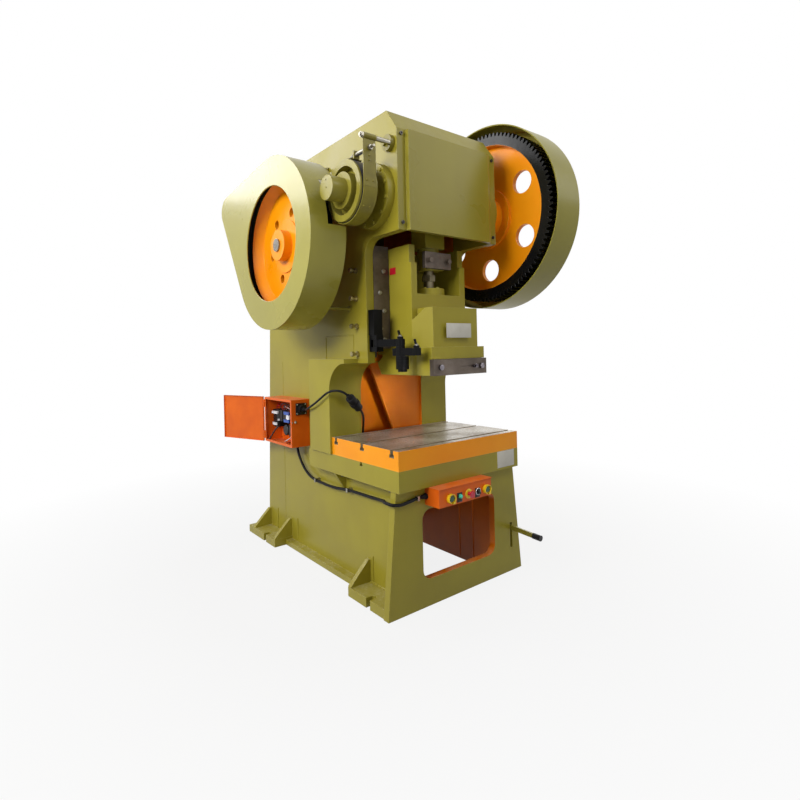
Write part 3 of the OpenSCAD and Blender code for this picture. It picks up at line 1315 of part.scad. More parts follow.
frame();
bolster();
socket_screws();
front_cover();
crank_housings();
crank_bushes();
brake_band();
brake_lining();
brake_bracket();
brake_spring_rod();
gibs();
gib_bolts();
gear_guard();
flywheel_guard();
guard_stays();
shaft_housings();
motor();
motor_base();
v_belts();
electrical_box();
contactors();
box_socket();
lead_plug();
socket_lead();
panel_lead();
cable_clips();
panel_box();
button_shrouds();
pilot_lamp();
lever_pivot();
arm_bracket();
crankshaft();
brake_drum();
clutch_key();
crank_end_plate();
big_gear();
gear_bush();
pinion_shaft();
flywheel();
motor_pulley();
motor_shaft();
slide_ram();
connecting_rod();
rod_cap();
rod_bolts();
ball_screw();
ball_ring();
screw_clamp();
shank_clamp();
clamp_screws();
box_door();
left_button();
right_button();
stop_button();
selector_knob();
foot_lever();
lever_grip();
first_arm();
second_arm();
stroke_pointer();
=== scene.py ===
import math
import random

import bpy
from mathutils import Matrix, Vector


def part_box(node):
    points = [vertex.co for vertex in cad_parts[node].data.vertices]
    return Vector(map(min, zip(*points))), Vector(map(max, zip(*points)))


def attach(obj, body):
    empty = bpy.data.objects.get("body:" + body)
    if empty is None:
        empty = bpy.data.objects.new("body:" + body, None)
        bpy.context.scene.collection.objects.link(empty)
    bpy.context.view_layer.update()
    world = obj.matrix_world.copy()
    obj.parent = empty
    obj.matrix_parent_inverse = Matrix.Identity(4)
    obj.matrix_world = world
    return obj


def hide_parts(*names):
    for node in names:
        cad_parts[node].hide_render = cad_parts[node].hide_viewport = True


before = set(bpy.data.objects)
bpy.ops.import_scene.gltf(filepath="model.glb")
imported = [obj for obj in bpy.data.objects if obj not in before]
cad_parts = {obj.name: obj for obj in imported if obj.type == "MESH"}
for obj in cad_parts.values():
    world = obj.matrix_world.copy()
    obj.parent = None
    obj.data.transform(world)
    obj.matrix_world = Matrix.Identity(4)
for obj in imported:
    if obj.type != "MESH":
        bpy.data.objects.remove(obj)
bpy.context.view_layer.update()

# Viewpoint: the camera stands at the front left of the press, at the height of
# the slide, and looks level towards the rear right.
scene = bpy.context.scene
lens = bpy.data.cameras.new("viewpoint")
lens.sensor_width = 36
lens.lens = 23.3
lens.shift_y = -0.0633
viewpoint = bpy.data.objects.new("viewpoint", lens)
scene.collection.objects.link(viewpoint)
spot, heading, tilt, roll = (-2.4066, -3.4257, 1.597), -0.66987, 0.00147, -0.02359
viewpoint.matrix_world = (Matrix.Translation(spot) @ Matrix.Rotation(heading, 4, "Z")
                          @ Matrix.Rotation(math.pi / 2 + tilt, 4, "X") @ Matrix.Rotation(roll, 4, "Z"))
scene.camera = viewpoint
scene.view_settings.view_transform = "Standard"


# Rubber leads: round black sheathed cable, matt, with a little dust. The socket
# lead runs over the throat's edge to its connector and down into the table; the
# panel lead is clipped along the side plate and enters the panel's left end.
def put(tree, kind, inputs=None, **settings):
    node = tree.nodes.new("ShaderNode" + kind)
    for name, value in settings.items():
        setattr(node, name, value)
    for name, value in (inputs or {}).items():
        if isinstance(value, bpy.types.NodeSocket):
            tree.links.new(value, node.inputs[name])
        else:
            node.inputs[name].default_value = value
    return node


def calc(tree, operation, *values):
    return put(tree, "Math", dict(enumerate(values)), operation=operation).outputs[0]


def times(tree, first, second):
    return calc(tree, "MULTIPLY", first, second)


def remap(tree, value, low, high, new_low=0.0, new_high=1.0):
    return put(tree, "MapRange", {"Value": value, "From Min": low, "From Max": high,
                                  "To Min": new_low, "To Max": new_high}).outputs[0]


def blend(tree, factor, first, second):
    return put(tree, "Mix", {0: factor, 6: first, 7: second}, data_type="RGBA").outputs[2]


def noise(tree, place, scale, detail=3.0, rough=0.55):
    return put(tree, "TexNoise", {"Vector": place, "Scale": scale, "Detail": detail,
                                  "Roughness": rough}).outputs[0]


def own_place(tree):
    """The point on the piece itself, so that a pattern stays with its piece."""
    return put(tree, "TexCoord").outputs["Object"]


def shade(red, green, blue):
    """A paint chip's red, green and blue, 0 to 255, as the shader wants them."""
    return [((c / 255 + 0.055) / 1.055) ** 2.4 if c > 10 else c / 3295 for c in (red, green, blue)] + [1.0]


def new_group(name, values=(), results=(), vectors=()):
    """A shader node group with number inputs and outputs; 'Normal' is a vector."""
    group = bpy.data.node_groups.new(name, "ShaderNodeTree")
    for label in values:
        group.interface.new_socket(label, in_out="INPUT", socket_type="NodeSocketFloat")
    for label in vectors:
        group.interface.new_socket(label, in_out="INPUT", socket_type="NodeSocketVector")
    for label in results:
        kind = "NodeSocketVector" if label == "Normal" else "NodeSocketFloat"
        group.interface.new_socket(label, in_out="OUTPUT", socket_type=kind)
    taken = group.nodes.new("NodeGroupInput")
    given = group.nodes.new("NodeGroupOutput")
    return group, taken.outputs, given.inputs


def use(tree, group, values):
    """Places a node group with its values, and gives its outputs."""
    return put(tree, "Group", values, node_tree=group).outputs


def new_finish(name, **constants):
    """An empty material; the constants go on the shader's own sockets."""
    material = bpy.data.materials.new(name)
    material.use_nodes = True
    tree = material.node_tree
    shader = tree.nodes["Principled BSDF"]
    for label, value in constants.items():
        shader.inputs[label.replace("_", " ")].default_value = value
    return material, tree, shader


def lay_on(tree, shader, colour, gloss, height, normal, bump, depth=0.0006):
    """Feeds a finish's colour, roughness and relief to its shader."""
    tree.links.new(colour, shader.inputs["Base Color"])
    tree.links.new(gloss, shader.inputs["Roughness"])
    relief = put(tree, "Bump", {"Height": height, "Strength": bump, "Distance": depth, "Normal": normal})
    tree.links.new(relief.outputs[0], shader.inputs["Normal"])


# Group: edges turned bright or dark by wear and by a painted highlight, and the small radius that every
# edge has
edges_group, taken, given = new_group("edge_wear_and_highlight_mask", ["Width"], ["Edge", "Normal"])
rounded = put(edges_group, "Bevel", {"Radius": taken["Width"]}, samples=6).outputs[0]
true_normal = put(edges_group, "NewGeometry").outputs["Normal"]
turn = put(edges_group, "VectorMath", {0: rounded, 1: true_normal},
           operation="DOT_PRODUCT").outputs["Value"]
turn = remap(edges_group, turn, 0.985, 0.80)
patchy = noise(edges_group, own_place(edges_group), 26.0, 4.0, 0.7)
turn = times(edges_group, turn, remap(edges_group, patchy, 0.38, 0.62))
edges_group.links.new(turn, given["Edge"])
edges_group.links.new(rounded, given["Normal"])

# Group: dust that settles where a face looks upwards
dust_group, taken, given = new_group("settled_dust", ["Amount"], ["Dust"])
upward = put(dust_group, "SeparateXYZ", {0: put(dust_group, "NewGeometry").outputs["Normal"]}).outputs["Z"]
where = own_place(dust_group)
cloud = remap(dust_group, noise(dust_group, where, 7.0, 6.0, 0.68), 0.36, 0.72)
specks = remap(dust_group, noise(dust_group, where, 90.0, 3.0, 0.7), 0.50, 0.66, 0.35, 1.6)
cloud = times(dust_group, cloud, specks)
fall = times(dust_group, remap(dust_group, upward, 0.35, 0.98), cloud)
dust_group.links.new(times(dust_group, fall, taken["Amount"]), given["Dust"])

# Group: a fine moulded or sheathed skin
skin_group, taken, given = new_group("moulded_skin", ["Grain"], ["Tone", "Pores"])
where = own_place(skin_group)
skin_group.links.new(noise(skin_group, where, 11.0, 4.0, 0.6), given["Tone"])
pores = put(skin_group, "TexNoise", {"Vector": where, "Scale": taken["Grain"], "Detail": 2.0}).outputs[0]
skin_group.links.new(pores, given["Pores"])


def moulded(name, main, edge_wear_and_highlight, rough, grain=420.0, bump=0.25, dust=0.3, **constants):
    """Rubber or plastic: a fine grain, edges lightened by wear and a painted highlight, and a little dust.
    """
    material, tree, shader = new_finish(name, **constants)
    skin = use(tree, skin_group, {"Grain": grain})
    edge = use(tree, edges_group, {"Width": 0.0012})
    settled = use(tree, dust_group, {"Amount": dust})["Dust"]
    darker = [c * 0.78 for c in main[:3]] + [1.0]
    colour = blend(tree, remap(tree, skin["Tone"], 0.35, 0.65), darker, main)
    # Edges take the lighter colour: part wear, part painted highlight
    colour = blend(tree, times(tree, edge["Edge"], 0.6), colour, edge_wear_and_highlight)
    colour = blend(tree, settled, colour, shade(172, 166, 150))
    matt = remap(tree, skin["Tone"], 0.3, 0.7, rough - 0.07, rough + 0.09)
    matt = calc(tree, "ADD", matt, times(tree, settled, 0.3))
    lay_on(tree, shader, colour, matt, skin["Pores"], edge["Normal"], bump)
    return material


sheath = moulded("sheath_rubber", shade(14, 13, 15), shade(48, 48, 52), 0.50, grain=260.0, dust=0.05,
                 Specular_IOR_Level=0.14)


def dress(finish, *nodes):
    """Gives parts of the frame their finish."""
    for node in nodes:
        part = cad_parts[node]
        if not part.material_slots:
            part.data.materials.append(None)
        for place in part.material_slots:
            place.material = finish


def bent_line(name, points, radius, roundness, steps):
    """A round cord or wire on one smooth curve through these points."""
    line = bpy.data.curves.new(name, "CURVE")
    line.dimensions = "3D"
    line.bevel_depth = radius
    line.bevel_resolution = roundness
    line.resolution_u = steps
    line.use_fill_caps = True
    spline = line.splines.new("BEZIER")
    spline.bezier_points.add(len(points) - 1)
    for point, place in zip(spline.bezier_points, points):
        point.co = place
        point.handle_left_type = point.handle_right_type = "AUTO"
    piece = bpy.data.objects.new(name, line)
    scene.collection.objects.link(piece)
    return piece


def run_lead(name, route, radius):
    piece = bent_line(name, route, radius, roundness=5, steps=5)
    piece.data.materials.append(sheath)
    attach(piece, "press_frame")
    return piece


def pick(*pieces):
    """Selects these pieces and nothing else, with the first as the active one."""
    bpy.ops.object.select_all(action="DESELECT")
    for piece in pieces:
        piece.select_set(True)
    if pieces:
        bpy.context.view_layer.objects.active = pieces[0]


def fix_to(piece, name, body, finish, smooth=None):
    """Names a finished piece, puts its place into its mesh and lets it ride on a body."""
    pick(piece)
    bpy.ops.object.transform_apply(location=True, rotation=True, scale=True)
    if smooth:
        bpy.ops.object.shade_smooth_by_angle(angle=math.radians(smooth))
    piece.name = name
    piece.data.name = name
    piece.data.materials.clear()
    piece.data.materials.append(finish)
    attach(piece, body)


def edit(points=False, edges=False, faces=False):
    """Opens the active piece for editing by its points, edges or faces."""
    bpy.ops.object.mode_set(mode="EDIT")
    bpy.context.tool_settings.mesh_select_mode = (points, edges, faces)


def turned(profile, centre, direction=(0, 0, 1), sides=32, ring=False):
    """A piece turned on a lathe: (radius, height) steps along a direction from its centre."""
    pick()
    bpy.ops.mesh.primitive_circle_add(vertices=sides, radius=profile[0][0],
                                      fill_type="NOTHING" if ring else "NGON")
    piece = bpy.context.object
    edit(edges=True)
    bpy.ops.mesh.select_all(action="SELECT")
    for (radius, height), (wider, further) in zip(profile, profile[1:]):
        bpy.ops.mesh.extrude_edges_move(TRANSFORM_OT_translate={"value": (0, 0, further - height)})
        bpy.ops.transform.resize(value=(wider / radius, wider / radius, 1))
    if not ring:
        bpy.ops.mesh.edge_face_add()
    bpy.ops.mesh.select_all(action="SELECT")
    bpy.ops.mesh.remove_doubles(threshold=1e-6)
    bpy.ops.mesh.normals_make_consistent(inside=False)
    bpy.ops.object.mode_set(mode="OBJECT")
    way = Vector(direction).normalized()
    piece.location = Vector(centre) + way * profile[0][1]
    piece.rotation_euler = way.to_track_quat("Z", "Y").to_euler()
    return piece


socket_route = [(-0.514, 0.207, 1.157), (-0.514, 0.186, 1.157), (-0.518, 0.150, 1.157),
                (-0.542, 0.090, 1.160), (-0.576, 0.020, 1.172), (-0.590, -0.060, 1.198),
                (-0.590, -0.140, 1.232), (-0.588, -0.220, 1.272), (-0.582, -0.300, 1.312),
                (-0.566, -0.372, 1.330), (-0.532, -0.416, 1.322), (-0.494, -0.424, 1.296)]
drop_route = [(-0.372, -0.372, 1.196), (-0.340, -0.352, 1.172), (-0.306, -0.322, 1.140),
              (-0.278, -0.290, 1.100), (-0.262, -0.262, 1.050), (-0.254, -0.244, 1.000),
              (-0.251, -0.237, 0.950), (-0.250, -0.235, 0.905), (-0.250, -0.235, 0.878),
              (-0.250, -0.235, 0.852)]
panel_route = [(-0.474, 0.375, 0.874), (-0.474, 0.375, 0.845), (-0.474, 0.370, 0.815),
               (-0.474, 0.348, 0.770), (-0.474, 0.300, 0.715), (-0.474, 0.235, 0.665),
               (-0.474, 0.160, 0.634), (-0.474, 0.080, 0.622), (-0.474, -0.010, 0.618),
               (-0.474, -0.100, 0.616), (-0.474, -0.190, 0.618), (-0.474, -0.280, 0.626),
               (-0.474, -0.370, 0.634), (-0.474, -0.460, 0.638), (-0.474, -0.550, 0.640),
               (-0.474, -0.640, 0.642), (-0.477, -0.720, 0.646), (-0.490, -0.790, 0.654),
               (-0.516, -0.845, 0.666), (-0.546, -0.885, 0.678), (-0.568, -0.925, 0.686),
               (-0.578, -0.962, 0.689), (-0.572, -0.994, 0.687), (-0.548, -1.006, 0.682),
               (-0.510, -1.002, 0.676), (-0.466, -1.000, 0.678), (-0.420, -1.000, 0.684),
               (-0.376, -1.000, 0.690), (-0.334, -1.000, 0.690), (-0.300, -1.000, 0.690)]
socket_lead = run_lead("socket_lead_sheath", socket_route, 0.008)
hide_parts("socket_lead")
drop_lead = run_lead("drop_lead_sheath", drop_route, 0.008)
panel_lead = run_lead("panel_lead_sheath", panel_route, 0.010)
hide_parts("panel_lead")
rubber = moulded("connector_rubber", shade(16, 15, 19), shade(60, 60, 66), 0.46, grain=320.0, dust=0.04,
                 Specular_IOR_Level=0.18)
dress(rubber, "lead_plug")
start, end = Vector(socket_route[-1]), Vector(drop_route[0])
grip_sides = 56
grip = turned([(0.0285, 0.0340), (0.0306, 0.0345), (0.0322, 0.038), (0.0322, 0.088), (0.0306, 0.0915),
               (0.0285, 0.0920), (0.0285, 0.0340)], start, end - start, sides=grip_sides, ring=True)
# Grip ribs along the barrel: every other line of it pressed in
for vertex in grip.data.vertices:
    turn = round(math.atan2(vertex.co.y, vertex.co.x) / (2 * math.pi / grip_sides))
    vertex.select = turn % 2 == 0 and vertex.co.xy.length > 0.0315
edit(points=True)
bpy.ops.transform.resize(value=(0.965, 0.965, 1))
bpy.ops.object.mode_set(mode="OBJECT")
fix_to(grip, "lead_connector_grip", "press_frame", rubber, smooth=28)
# Tapered sleeves where the leads leave the socket, the box and the panel
gland = [(0.0190, 0.000), (0.0190, 0.009), (0.0150, 0.010), (0.0165, 0.012), (0.0165, 0.015),
         (0.0142, 0.016), (0.0150, 0.019), (0.0150, 0.022), (0.0132, 0.023), (0.0136, 0.026),
         (0.0136, 0.029), (0.0122, 0.030), (0.0122, 0.037)]
for name, place, way in (("box_lead_sleeve", (-0.474, 0.3748, 0.8625), (0, -0.05, -1)),
                         ("panel_lead_sleeve", (-0.3055, -1.0, 0.690), (-1, 0, 0)),
                         ("socket_lead_sleeve", (-0.514, 0.1855, 1.157), (-0.05, -1, 0))):
    fix_to(turned(gland, place, way, sides=36), name, "press_frame", rubber, smooth=28)

# Frame: welded from thick plate, filled, primed and sprayed olive outside, amber
# orange inside the base, the throat and the head.
coat_group, taken, given = new_group("sprayed_coat", ["Patch Size", "Peel Size"], ["Patch", "Runs", "Peel"])
where = own_place(coat_group)
patch = put(coat_group, "TexNoise", {"Vector": where, "Scale": taken["Patch Size"], "Detail": 4.0,
                                     "Roughness": 0.55}).outputs[0]
coat_group.links.new(remap(coat_group, patch, 0.3, 0.7), given["Patch"])
upright = put(coat_group, "Mapping", {"Vector": where, "Scale": (9.0, 9.0, 0.7)}).outputs[0]
coat_group.links.new(remap(coat_group, noise(coat_group, upright, 1.0, 4.0, 0.6), 0.45, 0.75),
                     given["Runs"])
peel = put(coat_group, "TexNoise", {"Vector": where, "Scale": taken["Peel Size"], "Detail": 2.0}).outputs[0]
waves = noise(coat_group, where, 9.0, 2.0)
coat_group.links.new(calc(coat_group, "ADD", times(coat_group, waves, 5.0), peel), given["Peel"])

box_group, taken, given = new_group("inside_box", (), ["Inside"], ["Low", "High"])
where = own_place(box_group)
above = put(box_group, "VectorMath", {0: where, 1: taken["Low"]}, operation="SUBTRACT").outputs[0]
below = put(box_group, "VectorMath", {0: taken["High"], 1: where}, operation="SUBTRACT").outputs[0]
nearest = put(box_group, "SeparateXYZ", {0: put(box_group, "VectorMath", {0: above, 1: below},
                                                operation="MINIMUM").outputs[0]}).outputs
least = calc(box_group, "MINIMUM", calc(box_group, "MINIMUM", nearest[0], nearest[1]), nearest[2])
box_group.links.new(remap(box_group, least, -0.0004, 0.0004), given["Inside"])


def inside_boxes(tree, boxes):
    """Mask of the room that these boxes take, each from its low to its high corner."""
    mask = 0.0
    for low, high in boxes:
        mask = calc(tree, "MAXIMUM", mask, use(tree, box_group, {"Low": low, "High": high})["Inside"])
    return mask


# Paint colours: main, darker patches, and the edges' lighter colour, part wear and part painted highlight
olive = (shade(155, 144, 46), shade(144, 132, 38), shade(206, 198, 138))
inner_orange = (shade(222, 122, 16), shade(200, 102, 10), shade(240, 166, 84))


def enamel(name, colours, other=None, rough=0.34, patch=2.4, peel=150.0, radius=0.003, dust=0.30,
           other_rough=None, bump=0.22, coat_weight=0.06, shine=0.24):
    """Sprayed enamel. other is (mask maker, colours) for a second colour on the same piece."""
    material, tree, shader = new_finish(name, Coat_Weight=coat_weight, Coat_Roughness=0.14,
                                        Specular_IOR_Level=shine)
    coat = use(tree, coat_group, {"Patch Size": patch, "Peel Size": peel})
    edge = use(tree, edges_group, {"Width": radius})
    settled = use(tree, dust_group, {"Amount": dust})["Dust"]
    main, dark, edge_wear_and_highlight = colours
    level = rough
    if other:
        mask = other[0](tree, own_place(tree))
        main, dark, edge_wear_and_highlight = (blend(tree, mask, a, b) for a, b in zip(colours, other[1]))
        if other_rough is not None:
            level = remap(tree, mask, 0.0, 1.0, rough, other_rough)
    colour = blend(tree, coat["Patch"], dark, main)
    colour = blend(tree, times(tree, coat["Runs"], 0.35), colour, dark)
    # Edges lightened: part wear, part painted highlight
    colour = blend(tree, times(tree, edge["Edge"], 0.55), colour, edge_wear_and_highlight)
    colour = blend(tree, settled, colour, shade(206, 202, 178))
    gloss = calc(tree, "ADD", level, remap(tree, coat["Patch"], 0.0, 1.0, -0.05, 0.08))
    gloss = calc(tree, "ADD", gloss, times(tree, settled, 0.35))
    lay_on(tree, shader, colour, gloss, coat["Peel"], edge["Normal"], bump)
    return material


def frame_rooms(tree, place):
    """Mask of the orange rooms: the base, its window, the body, the head and the throat."""
    return inside_boxes(tree, [
        ((-0.3815, -0.9372, -0.01), (0.3815, 0.930, 0.7495)),
        ((-0.3305, -0.9865, 0.160), (0.3305, -0.930, 0.6035)),
        ((-0.3815, -0.590, 1.520), (0.3815, 0.905, 2.5255)),
        ((-0.3815, -0.590, 2.520), (0.3815, 0.292, 3.070)),
        ((-0.2905, -0.2805, 0.8795), (0.2905, 0.140, 1.5155))])


frame_paint = enamel("olive_and_orange_frame", olive, (frame_rooms, inner_orange), other_rough=0.36,
                     dust=0.48)
dress(frame_paint, "frame")
olive_paint = enamel("olive_castings", olive, radius=0.0025)
dress(olive_paint, "crank_housings", "crank_end_plate", "shaft_housings", "motor_base")


# Weld seams of the frame: fillet beads laid by hand where the plates meet, round the
# patch plate and along the feet, and painted over with the plates
def join(pieces):
    pick(*pieces)
    bpy.ops.object.join()
    return pieces[0]


def weld_bead(start, end, radius=0.006, ripple=0.007):
    """A bead that swells with each ripple, never twice by the same amount."""
    pick()
    way = Vector(end) - Vector(start)
    length = way.length
    bpy.ops.mesh.primitive_cylinder_add(vertices=8, radius=radius, depth=length,
                                        location=(Vector(start) + Vector(end)) / 2,
                                        rotation=way.to_track_quat("Z", "Y").to_euler())
    bead = bpy.context.object
    for edge in bead.data.edges:
        a, b = (bead.data.vertices[i].co for i in edge.vertices)
        edge.select = abs(a.z - b.z) > length / 2
    for face in bead.data.polygons:
        face.select = False
    edit(edges=True)
    bpy.ops.mesh.subdivide(number_cuts=max(2, int(length / ripple * 2)))
    bpy.ops.object.mode_set(mode="OBJECT")
    rng = random.Random(int(length * 1e4))
    lean = [rng.uniform(0.85, 1.15) for _ in range(400)]
    for vertex in bead.data.vertices:
        step = (vertex.co.z + length / 2) / ripple
        swell = 1 + 0.16 * math.sin(step * 2 * math.pi) * lean[int(step) % len(lean)]
        vertex.co.x *= swell
        vertex.co.y *= swell
    return bead


wall, wall_foot, wall_inside, feet_top, table_under = 0.441, 0.442, 0.380, 0.0605, 0.878
patch_plate = [(-0.430, 1.516), (-0.430, 1.708), (-0.059, 1.708), (-0.059, 1.516)]
seams = [weld_bead((-wall, *a), (-wall, *b), 0.004) for a, b in zip(patch_plate, patch_plate[1:])]
for foot in (-0.975, -0.605, 0.465, 0.835):
    seams.append(weld_bead((-wall_foot, foot, feet_top), (-wall_foot, foot, 0.235), 0.005))
for side in (-1, 1):
    for x, start, end in ((wall, (-0.935, 0.207), (-0.935, 0.745)),
                          (wall_foot, (-0.93, feet_top), (-0.54, feet_top)),
                          (wall_foot, (-0.282, table_under), (0.052, table_under))):
        seams.append(weld_bead((side * x, *start), (side * x, *end)))
    for y, bottom in ((-0.9365, 0.03), (0.0145, 0.155)):
        seams.append(weld_bead((side * wall_inside, y, bottom), (side * wall_inside, y, 0.74), 0.007))
seams.append(weld_bead((-0.4405, 0.680, 0.012), (-0.4405, 0.680, 1.52), 0.0022, ripple=0.012))
for y in (-0.725, -0.585):
    seams.append(weld_bead((0.3808, y, 0.02), (0.3808, y, 0.742)))
fix_to(join(seams), "frame_welds", "press_frame", frame_paint, smooth=60)

# Bolster: flame-cut plate, its top and T-slots scraped, oiled and left bare, its sides
# sprayed amber; it is screwed down on the table
amber = (shade(248, 158, 8), shade(240, 146, 4), shade(252, 212, 130))
bolster_top, slot_rows, slot_reach, slot_half = 1.0, (-0.964, -0.648, -0.332), 0.5392, 0.0235


def scraped_top():
    """The bolster's paint, and bare scraped steel on its top and in its T-slots."""
    material, tree, shader = new_finish("scraped_bolster", Coat_Weight=0.04, Coat_Roughness=0.16,
                                        Specular_IOR_Level=0.24)
    place = own_place(tree)
    coat = use(tree, coat_group, {"Patch Size": 2.4, "Peel Size": 150.0})
    edge = use(tree, edges_group, {"Width": 0.0025})
    top = inside_boxes(tree, [((-0.6, -1.1, bolster_top - 0.0004), (0.6, 0.0, bolster_top + 0.01))])
    slots = inside_boxes(tree, [((-slot_reach, y - slot_half, 0.9535),
                                 (slot_reach, y + slot_half, bolster_top - 0.0006)) for y in slot_rows])
    bare = calc(tree, "MAXIMUM", top, slots)
    # Scraper's marks: short crossing strokes in broad cloudy fields, bright on brown-grey; their near-white
    # is partly a painted glint
    first, second = (
        put(tree, "Mapping", {"Vector": place, "Rotation": (0, 0, turn), "Scale": scale}).outputs[0]
        for turn, scale in ((0.7, (130.0, 26.0, 1.0)), (-0.8, (26.0, 120.0, 1.0))))
    strokes = calc(tree, "MAXIMUM", noise(tree, first, 1.0, 3.0), noise(tree, second, 1.0, 3.0))
    wear = remap(tree, noise(tree, place, 3.4, 6.0, 0.66), 0.40, 0.62)
    bright = times(tree, remap(tree, strokes, 0.54, 0.66), remap(tree, wear, 0.0, 1.0, 1.0, 0.35))
    steel = blend(tree, wear, shade(188, 180, 164), shade(128, 112, 88))
    steel = blend(tree, bright, steel, shade(236, 234, 232))
    steel = blend(tree, slots, steel, shade(150, 138, 116))
    paint = blend(tree, coat["Patch"], amber[1], amber[0])
    # The paint's edges lightened: part wear, part painted highlight
    paint = blend(tree, times(tree, edge["Edge"], 0.5), paint, amber[2])
    tree.links.new(times(tree, top, 0.6), shader.inputs["Metallic"])
    gloss = remap(tree, bare, 0.0, 1.0, 0.32, remap(tree, bright, 0.0, 1.0, 0.36, 0.20))
    height = remap(tree, bare, 0.0, 1.0, coat["Peel"], times(tree, strokes, 2.4))
    lay_on(tree, shader, blend(tree, bare, paint, steel), gloss, height, edge["Normal"], 0.35, 0.0008)
    return material


dress(scraped_top(), "bolster")


# Screws: blackened socket screws, their heads' edges lightened by wear and a painted highlight,
# which hold the bolster, the cover, the gibs and the rod's cap
def worked_metal(name, main, dark, rust, rough=0.34, metallic=0.85, scale=60.0, stretch=(1.0, 1.0, 1.0),
                 bump=0.3, radius=0.002, dust=0.0):
    """Bare worked steel: tool marks along a direction, oil tone, and edges lightened by wear and a painted
    highlight.
    """
    material, tree, shader = new_finish(name)
    place = own_place(tree)
    marks = put(tree, "Mapping", {"Vector": place, "Scale": stretch}).outputs[0]
    lines = noise(tree, marks, scale, 4.0, 0.6)
    cloud = remap(tree, noise(tree, place, 5.0, 5.0, 0.62), 0.35, 0.68)
    spots = remap(tree, noise(tree, place, 38.0, 5.0, 0.7), 0.60, 0.76)
    edge = use(tree, edges_group, {"Width": radius})
    settled = use(tree, dust_group, {"Amount": dust})["Dust"]
    # Edge colour, lighter than the steel: part wear, part painted highlight, as on the screws' bright rims
    metal_edge_wear_and_highlight = [min(1, c * 1.8) for c in main[:3]] + [1]
    colour = blend(tree, cloud, dark, main)
    colour = blend(tree, times(tree, remap(tree, lines, 0.4, 0.65), 0.35), colour, dark)
    colour = blend(tree, times(tree, spots, 0.5), colour, rust)
    colour = blend(tree, times(tree, edge["Edge"], 0.5), colour, metal_edge_wear_and_highlight)
    colour = blend(tree, settled, colour, shade(150, 142, 124))
    gloss = calc(tree, "ADD", remap(tree, lines, 0.3, 0.7, rough - 0.08, rough + 0.12),
                 times(tree, spots, 0.18))
    tree.links.new(remap(tree, spots, 0.0, 1.0, metallic, metallic * 0.55), shader.inputs["Metallic"])
    lay_on(tree, shader, colour, gloss, lines, edge["Normal"], bump, 0.0005)
    return material


black_screws = worked_metal("blackened_steel", shade(92, 88, 84), shade(46, 44, 42), shade(70, 56, 44),
                            rough=0.36, metallic=0.8, scale=300.0, radius=0.0015)
dress(black_screws, "socket_screws", "rod_bolts")


# Blank plates: thin pale enamelled sheet with chamfered edges, held by four drive
# rivets each on the table's front and on the slide's front
def copied(piece, places):
    """The piece moved to each place, each copy with its own mesh, all joined."""
    made = []
    for place in places:
        copy = piece.copy()
        copy.data = piece.data.copy()
        scene.collection.objects.link(copy)
        copy.location = piece.location + Vector(place)
        made.append(copy)
    bpy.data.objects.remove(piece)
    return join(made)


def chamfer(piece, width):
    pick(piece)
    edge = piece.modifiers.new("chamfer", "BEVEL")
    edge.width = width
    edge.segments = 2
    edge.limit_method = "ANGLE"
    edge.angle_limit = math.radians(30)
    bpy.ops.object.modifier_apply(modifier=edge.name)
    return piece


def plate_block(low, high):
    pick()
    low, high = Vector(low), Vector(high)
    bpy.ops.mesh.primitive_cube_add(size=1, location=(low + high) / 2)
    piece = bpy.context.object
    piece.scale = high - low
    bpy.ops.object.transform_apply(location=False, rotation=False, scale=True)
    return piece


plate_stock = enamel("blank_plate", (shade(206, 203, 192), shade(196, 192, 180), shade(232, 230, 222)),
                     rough=0.42, patch=16.0, peel=400.0, radius=0.0008, dust=0.0, bump=0.08)
rivet = [(0.0034, 0.0), (0.0034, 0.0006), (0.0028, 0.0016), (0.0014, 0.0022)]
forward = (0, -1, 0)


def blank_plate(name, body, left, right, front, bottom, top):
    plate = chamfer(plate_block((left, front - 0.0012, bottom), (right, front + 0.0004, top)), 0.0004)
    heads = copied(turned(rivet, (left + 0.008, front - 0.0010, bottom + 0.008), forward, sides=12),
                   [(x, 0, z) for x in (0, right - left - 0.016) for z in (0, top - bottom - 0.016)])
    fix_to(join([plate, heads]), name, body, plate_stock, smooth=30)


blank_plate("table_plate", "press_frame", 0.325, 0.500, -1.030, 0.765, 0.878)
blank_plate("slide_plate", "slide", -0.107, 0.117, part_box("slide_ram")[0][1], 1.670, 1.764)

# Head cover: folded sheet with a flat flange, sprayed with the frame and screwed on
# the head's front over the crank
cover_paint = enamel("olive_sheet", (shade(150, 140, 50), shade(138, 128, 42), shade(198, 190, 126)),
                     rough=0.28, patch=1.5, peel=120.0, radius=0.002, coat_weight=0.05)
dress(cover_paint, "front_cover")

# Brake: a riveted steel band with a friction lining, drawn together round the drum by
# a spring on a plated rod; the drum is painted, and bare where the lining runs
brake_paint = enamel("olive_brake", (shade(142, 132, 46), shade(118, 108, 36), shade(198, 190, 126)),
                     rough=0.36, patch=9.0, radius=0.0015)
dress(brake_paint, "brake_band", "brake_bracket", "guard_stays")
crank_axis = (0.0, -0.727, 2.585)
band_radius, band_rows, tab_face = 0.1996, (-0.646, -0.600), -0.9274
rivet_head = [(0.0075, 0.0), (0.0075, 0.0008), (0.0062, 0.0032), (0.0034, 0.0050), (0.0010, 0.0054)]
rivets = [turned(rivet_head, (x, tab_face, z), forward, sides=16)
          for x, z in ((-0.626, 2.755), (-0.626, 2.726), (-0.646, 2.607), (-0.600, 2.607))]
for turn in (218, 250, 290):
    way = Vector((0, math.cos(math.radians(turn)), math.sin(math.radians(turn))))
    for x in band_rows:
        rivets.append(turned(rivet_head, Vector((x, *crank_axis[1:])) + way * band_radius, way, sides=16))
fix_to(join(rivets), "brake_rivets", "press_frame", brake_paint, smooth=40)
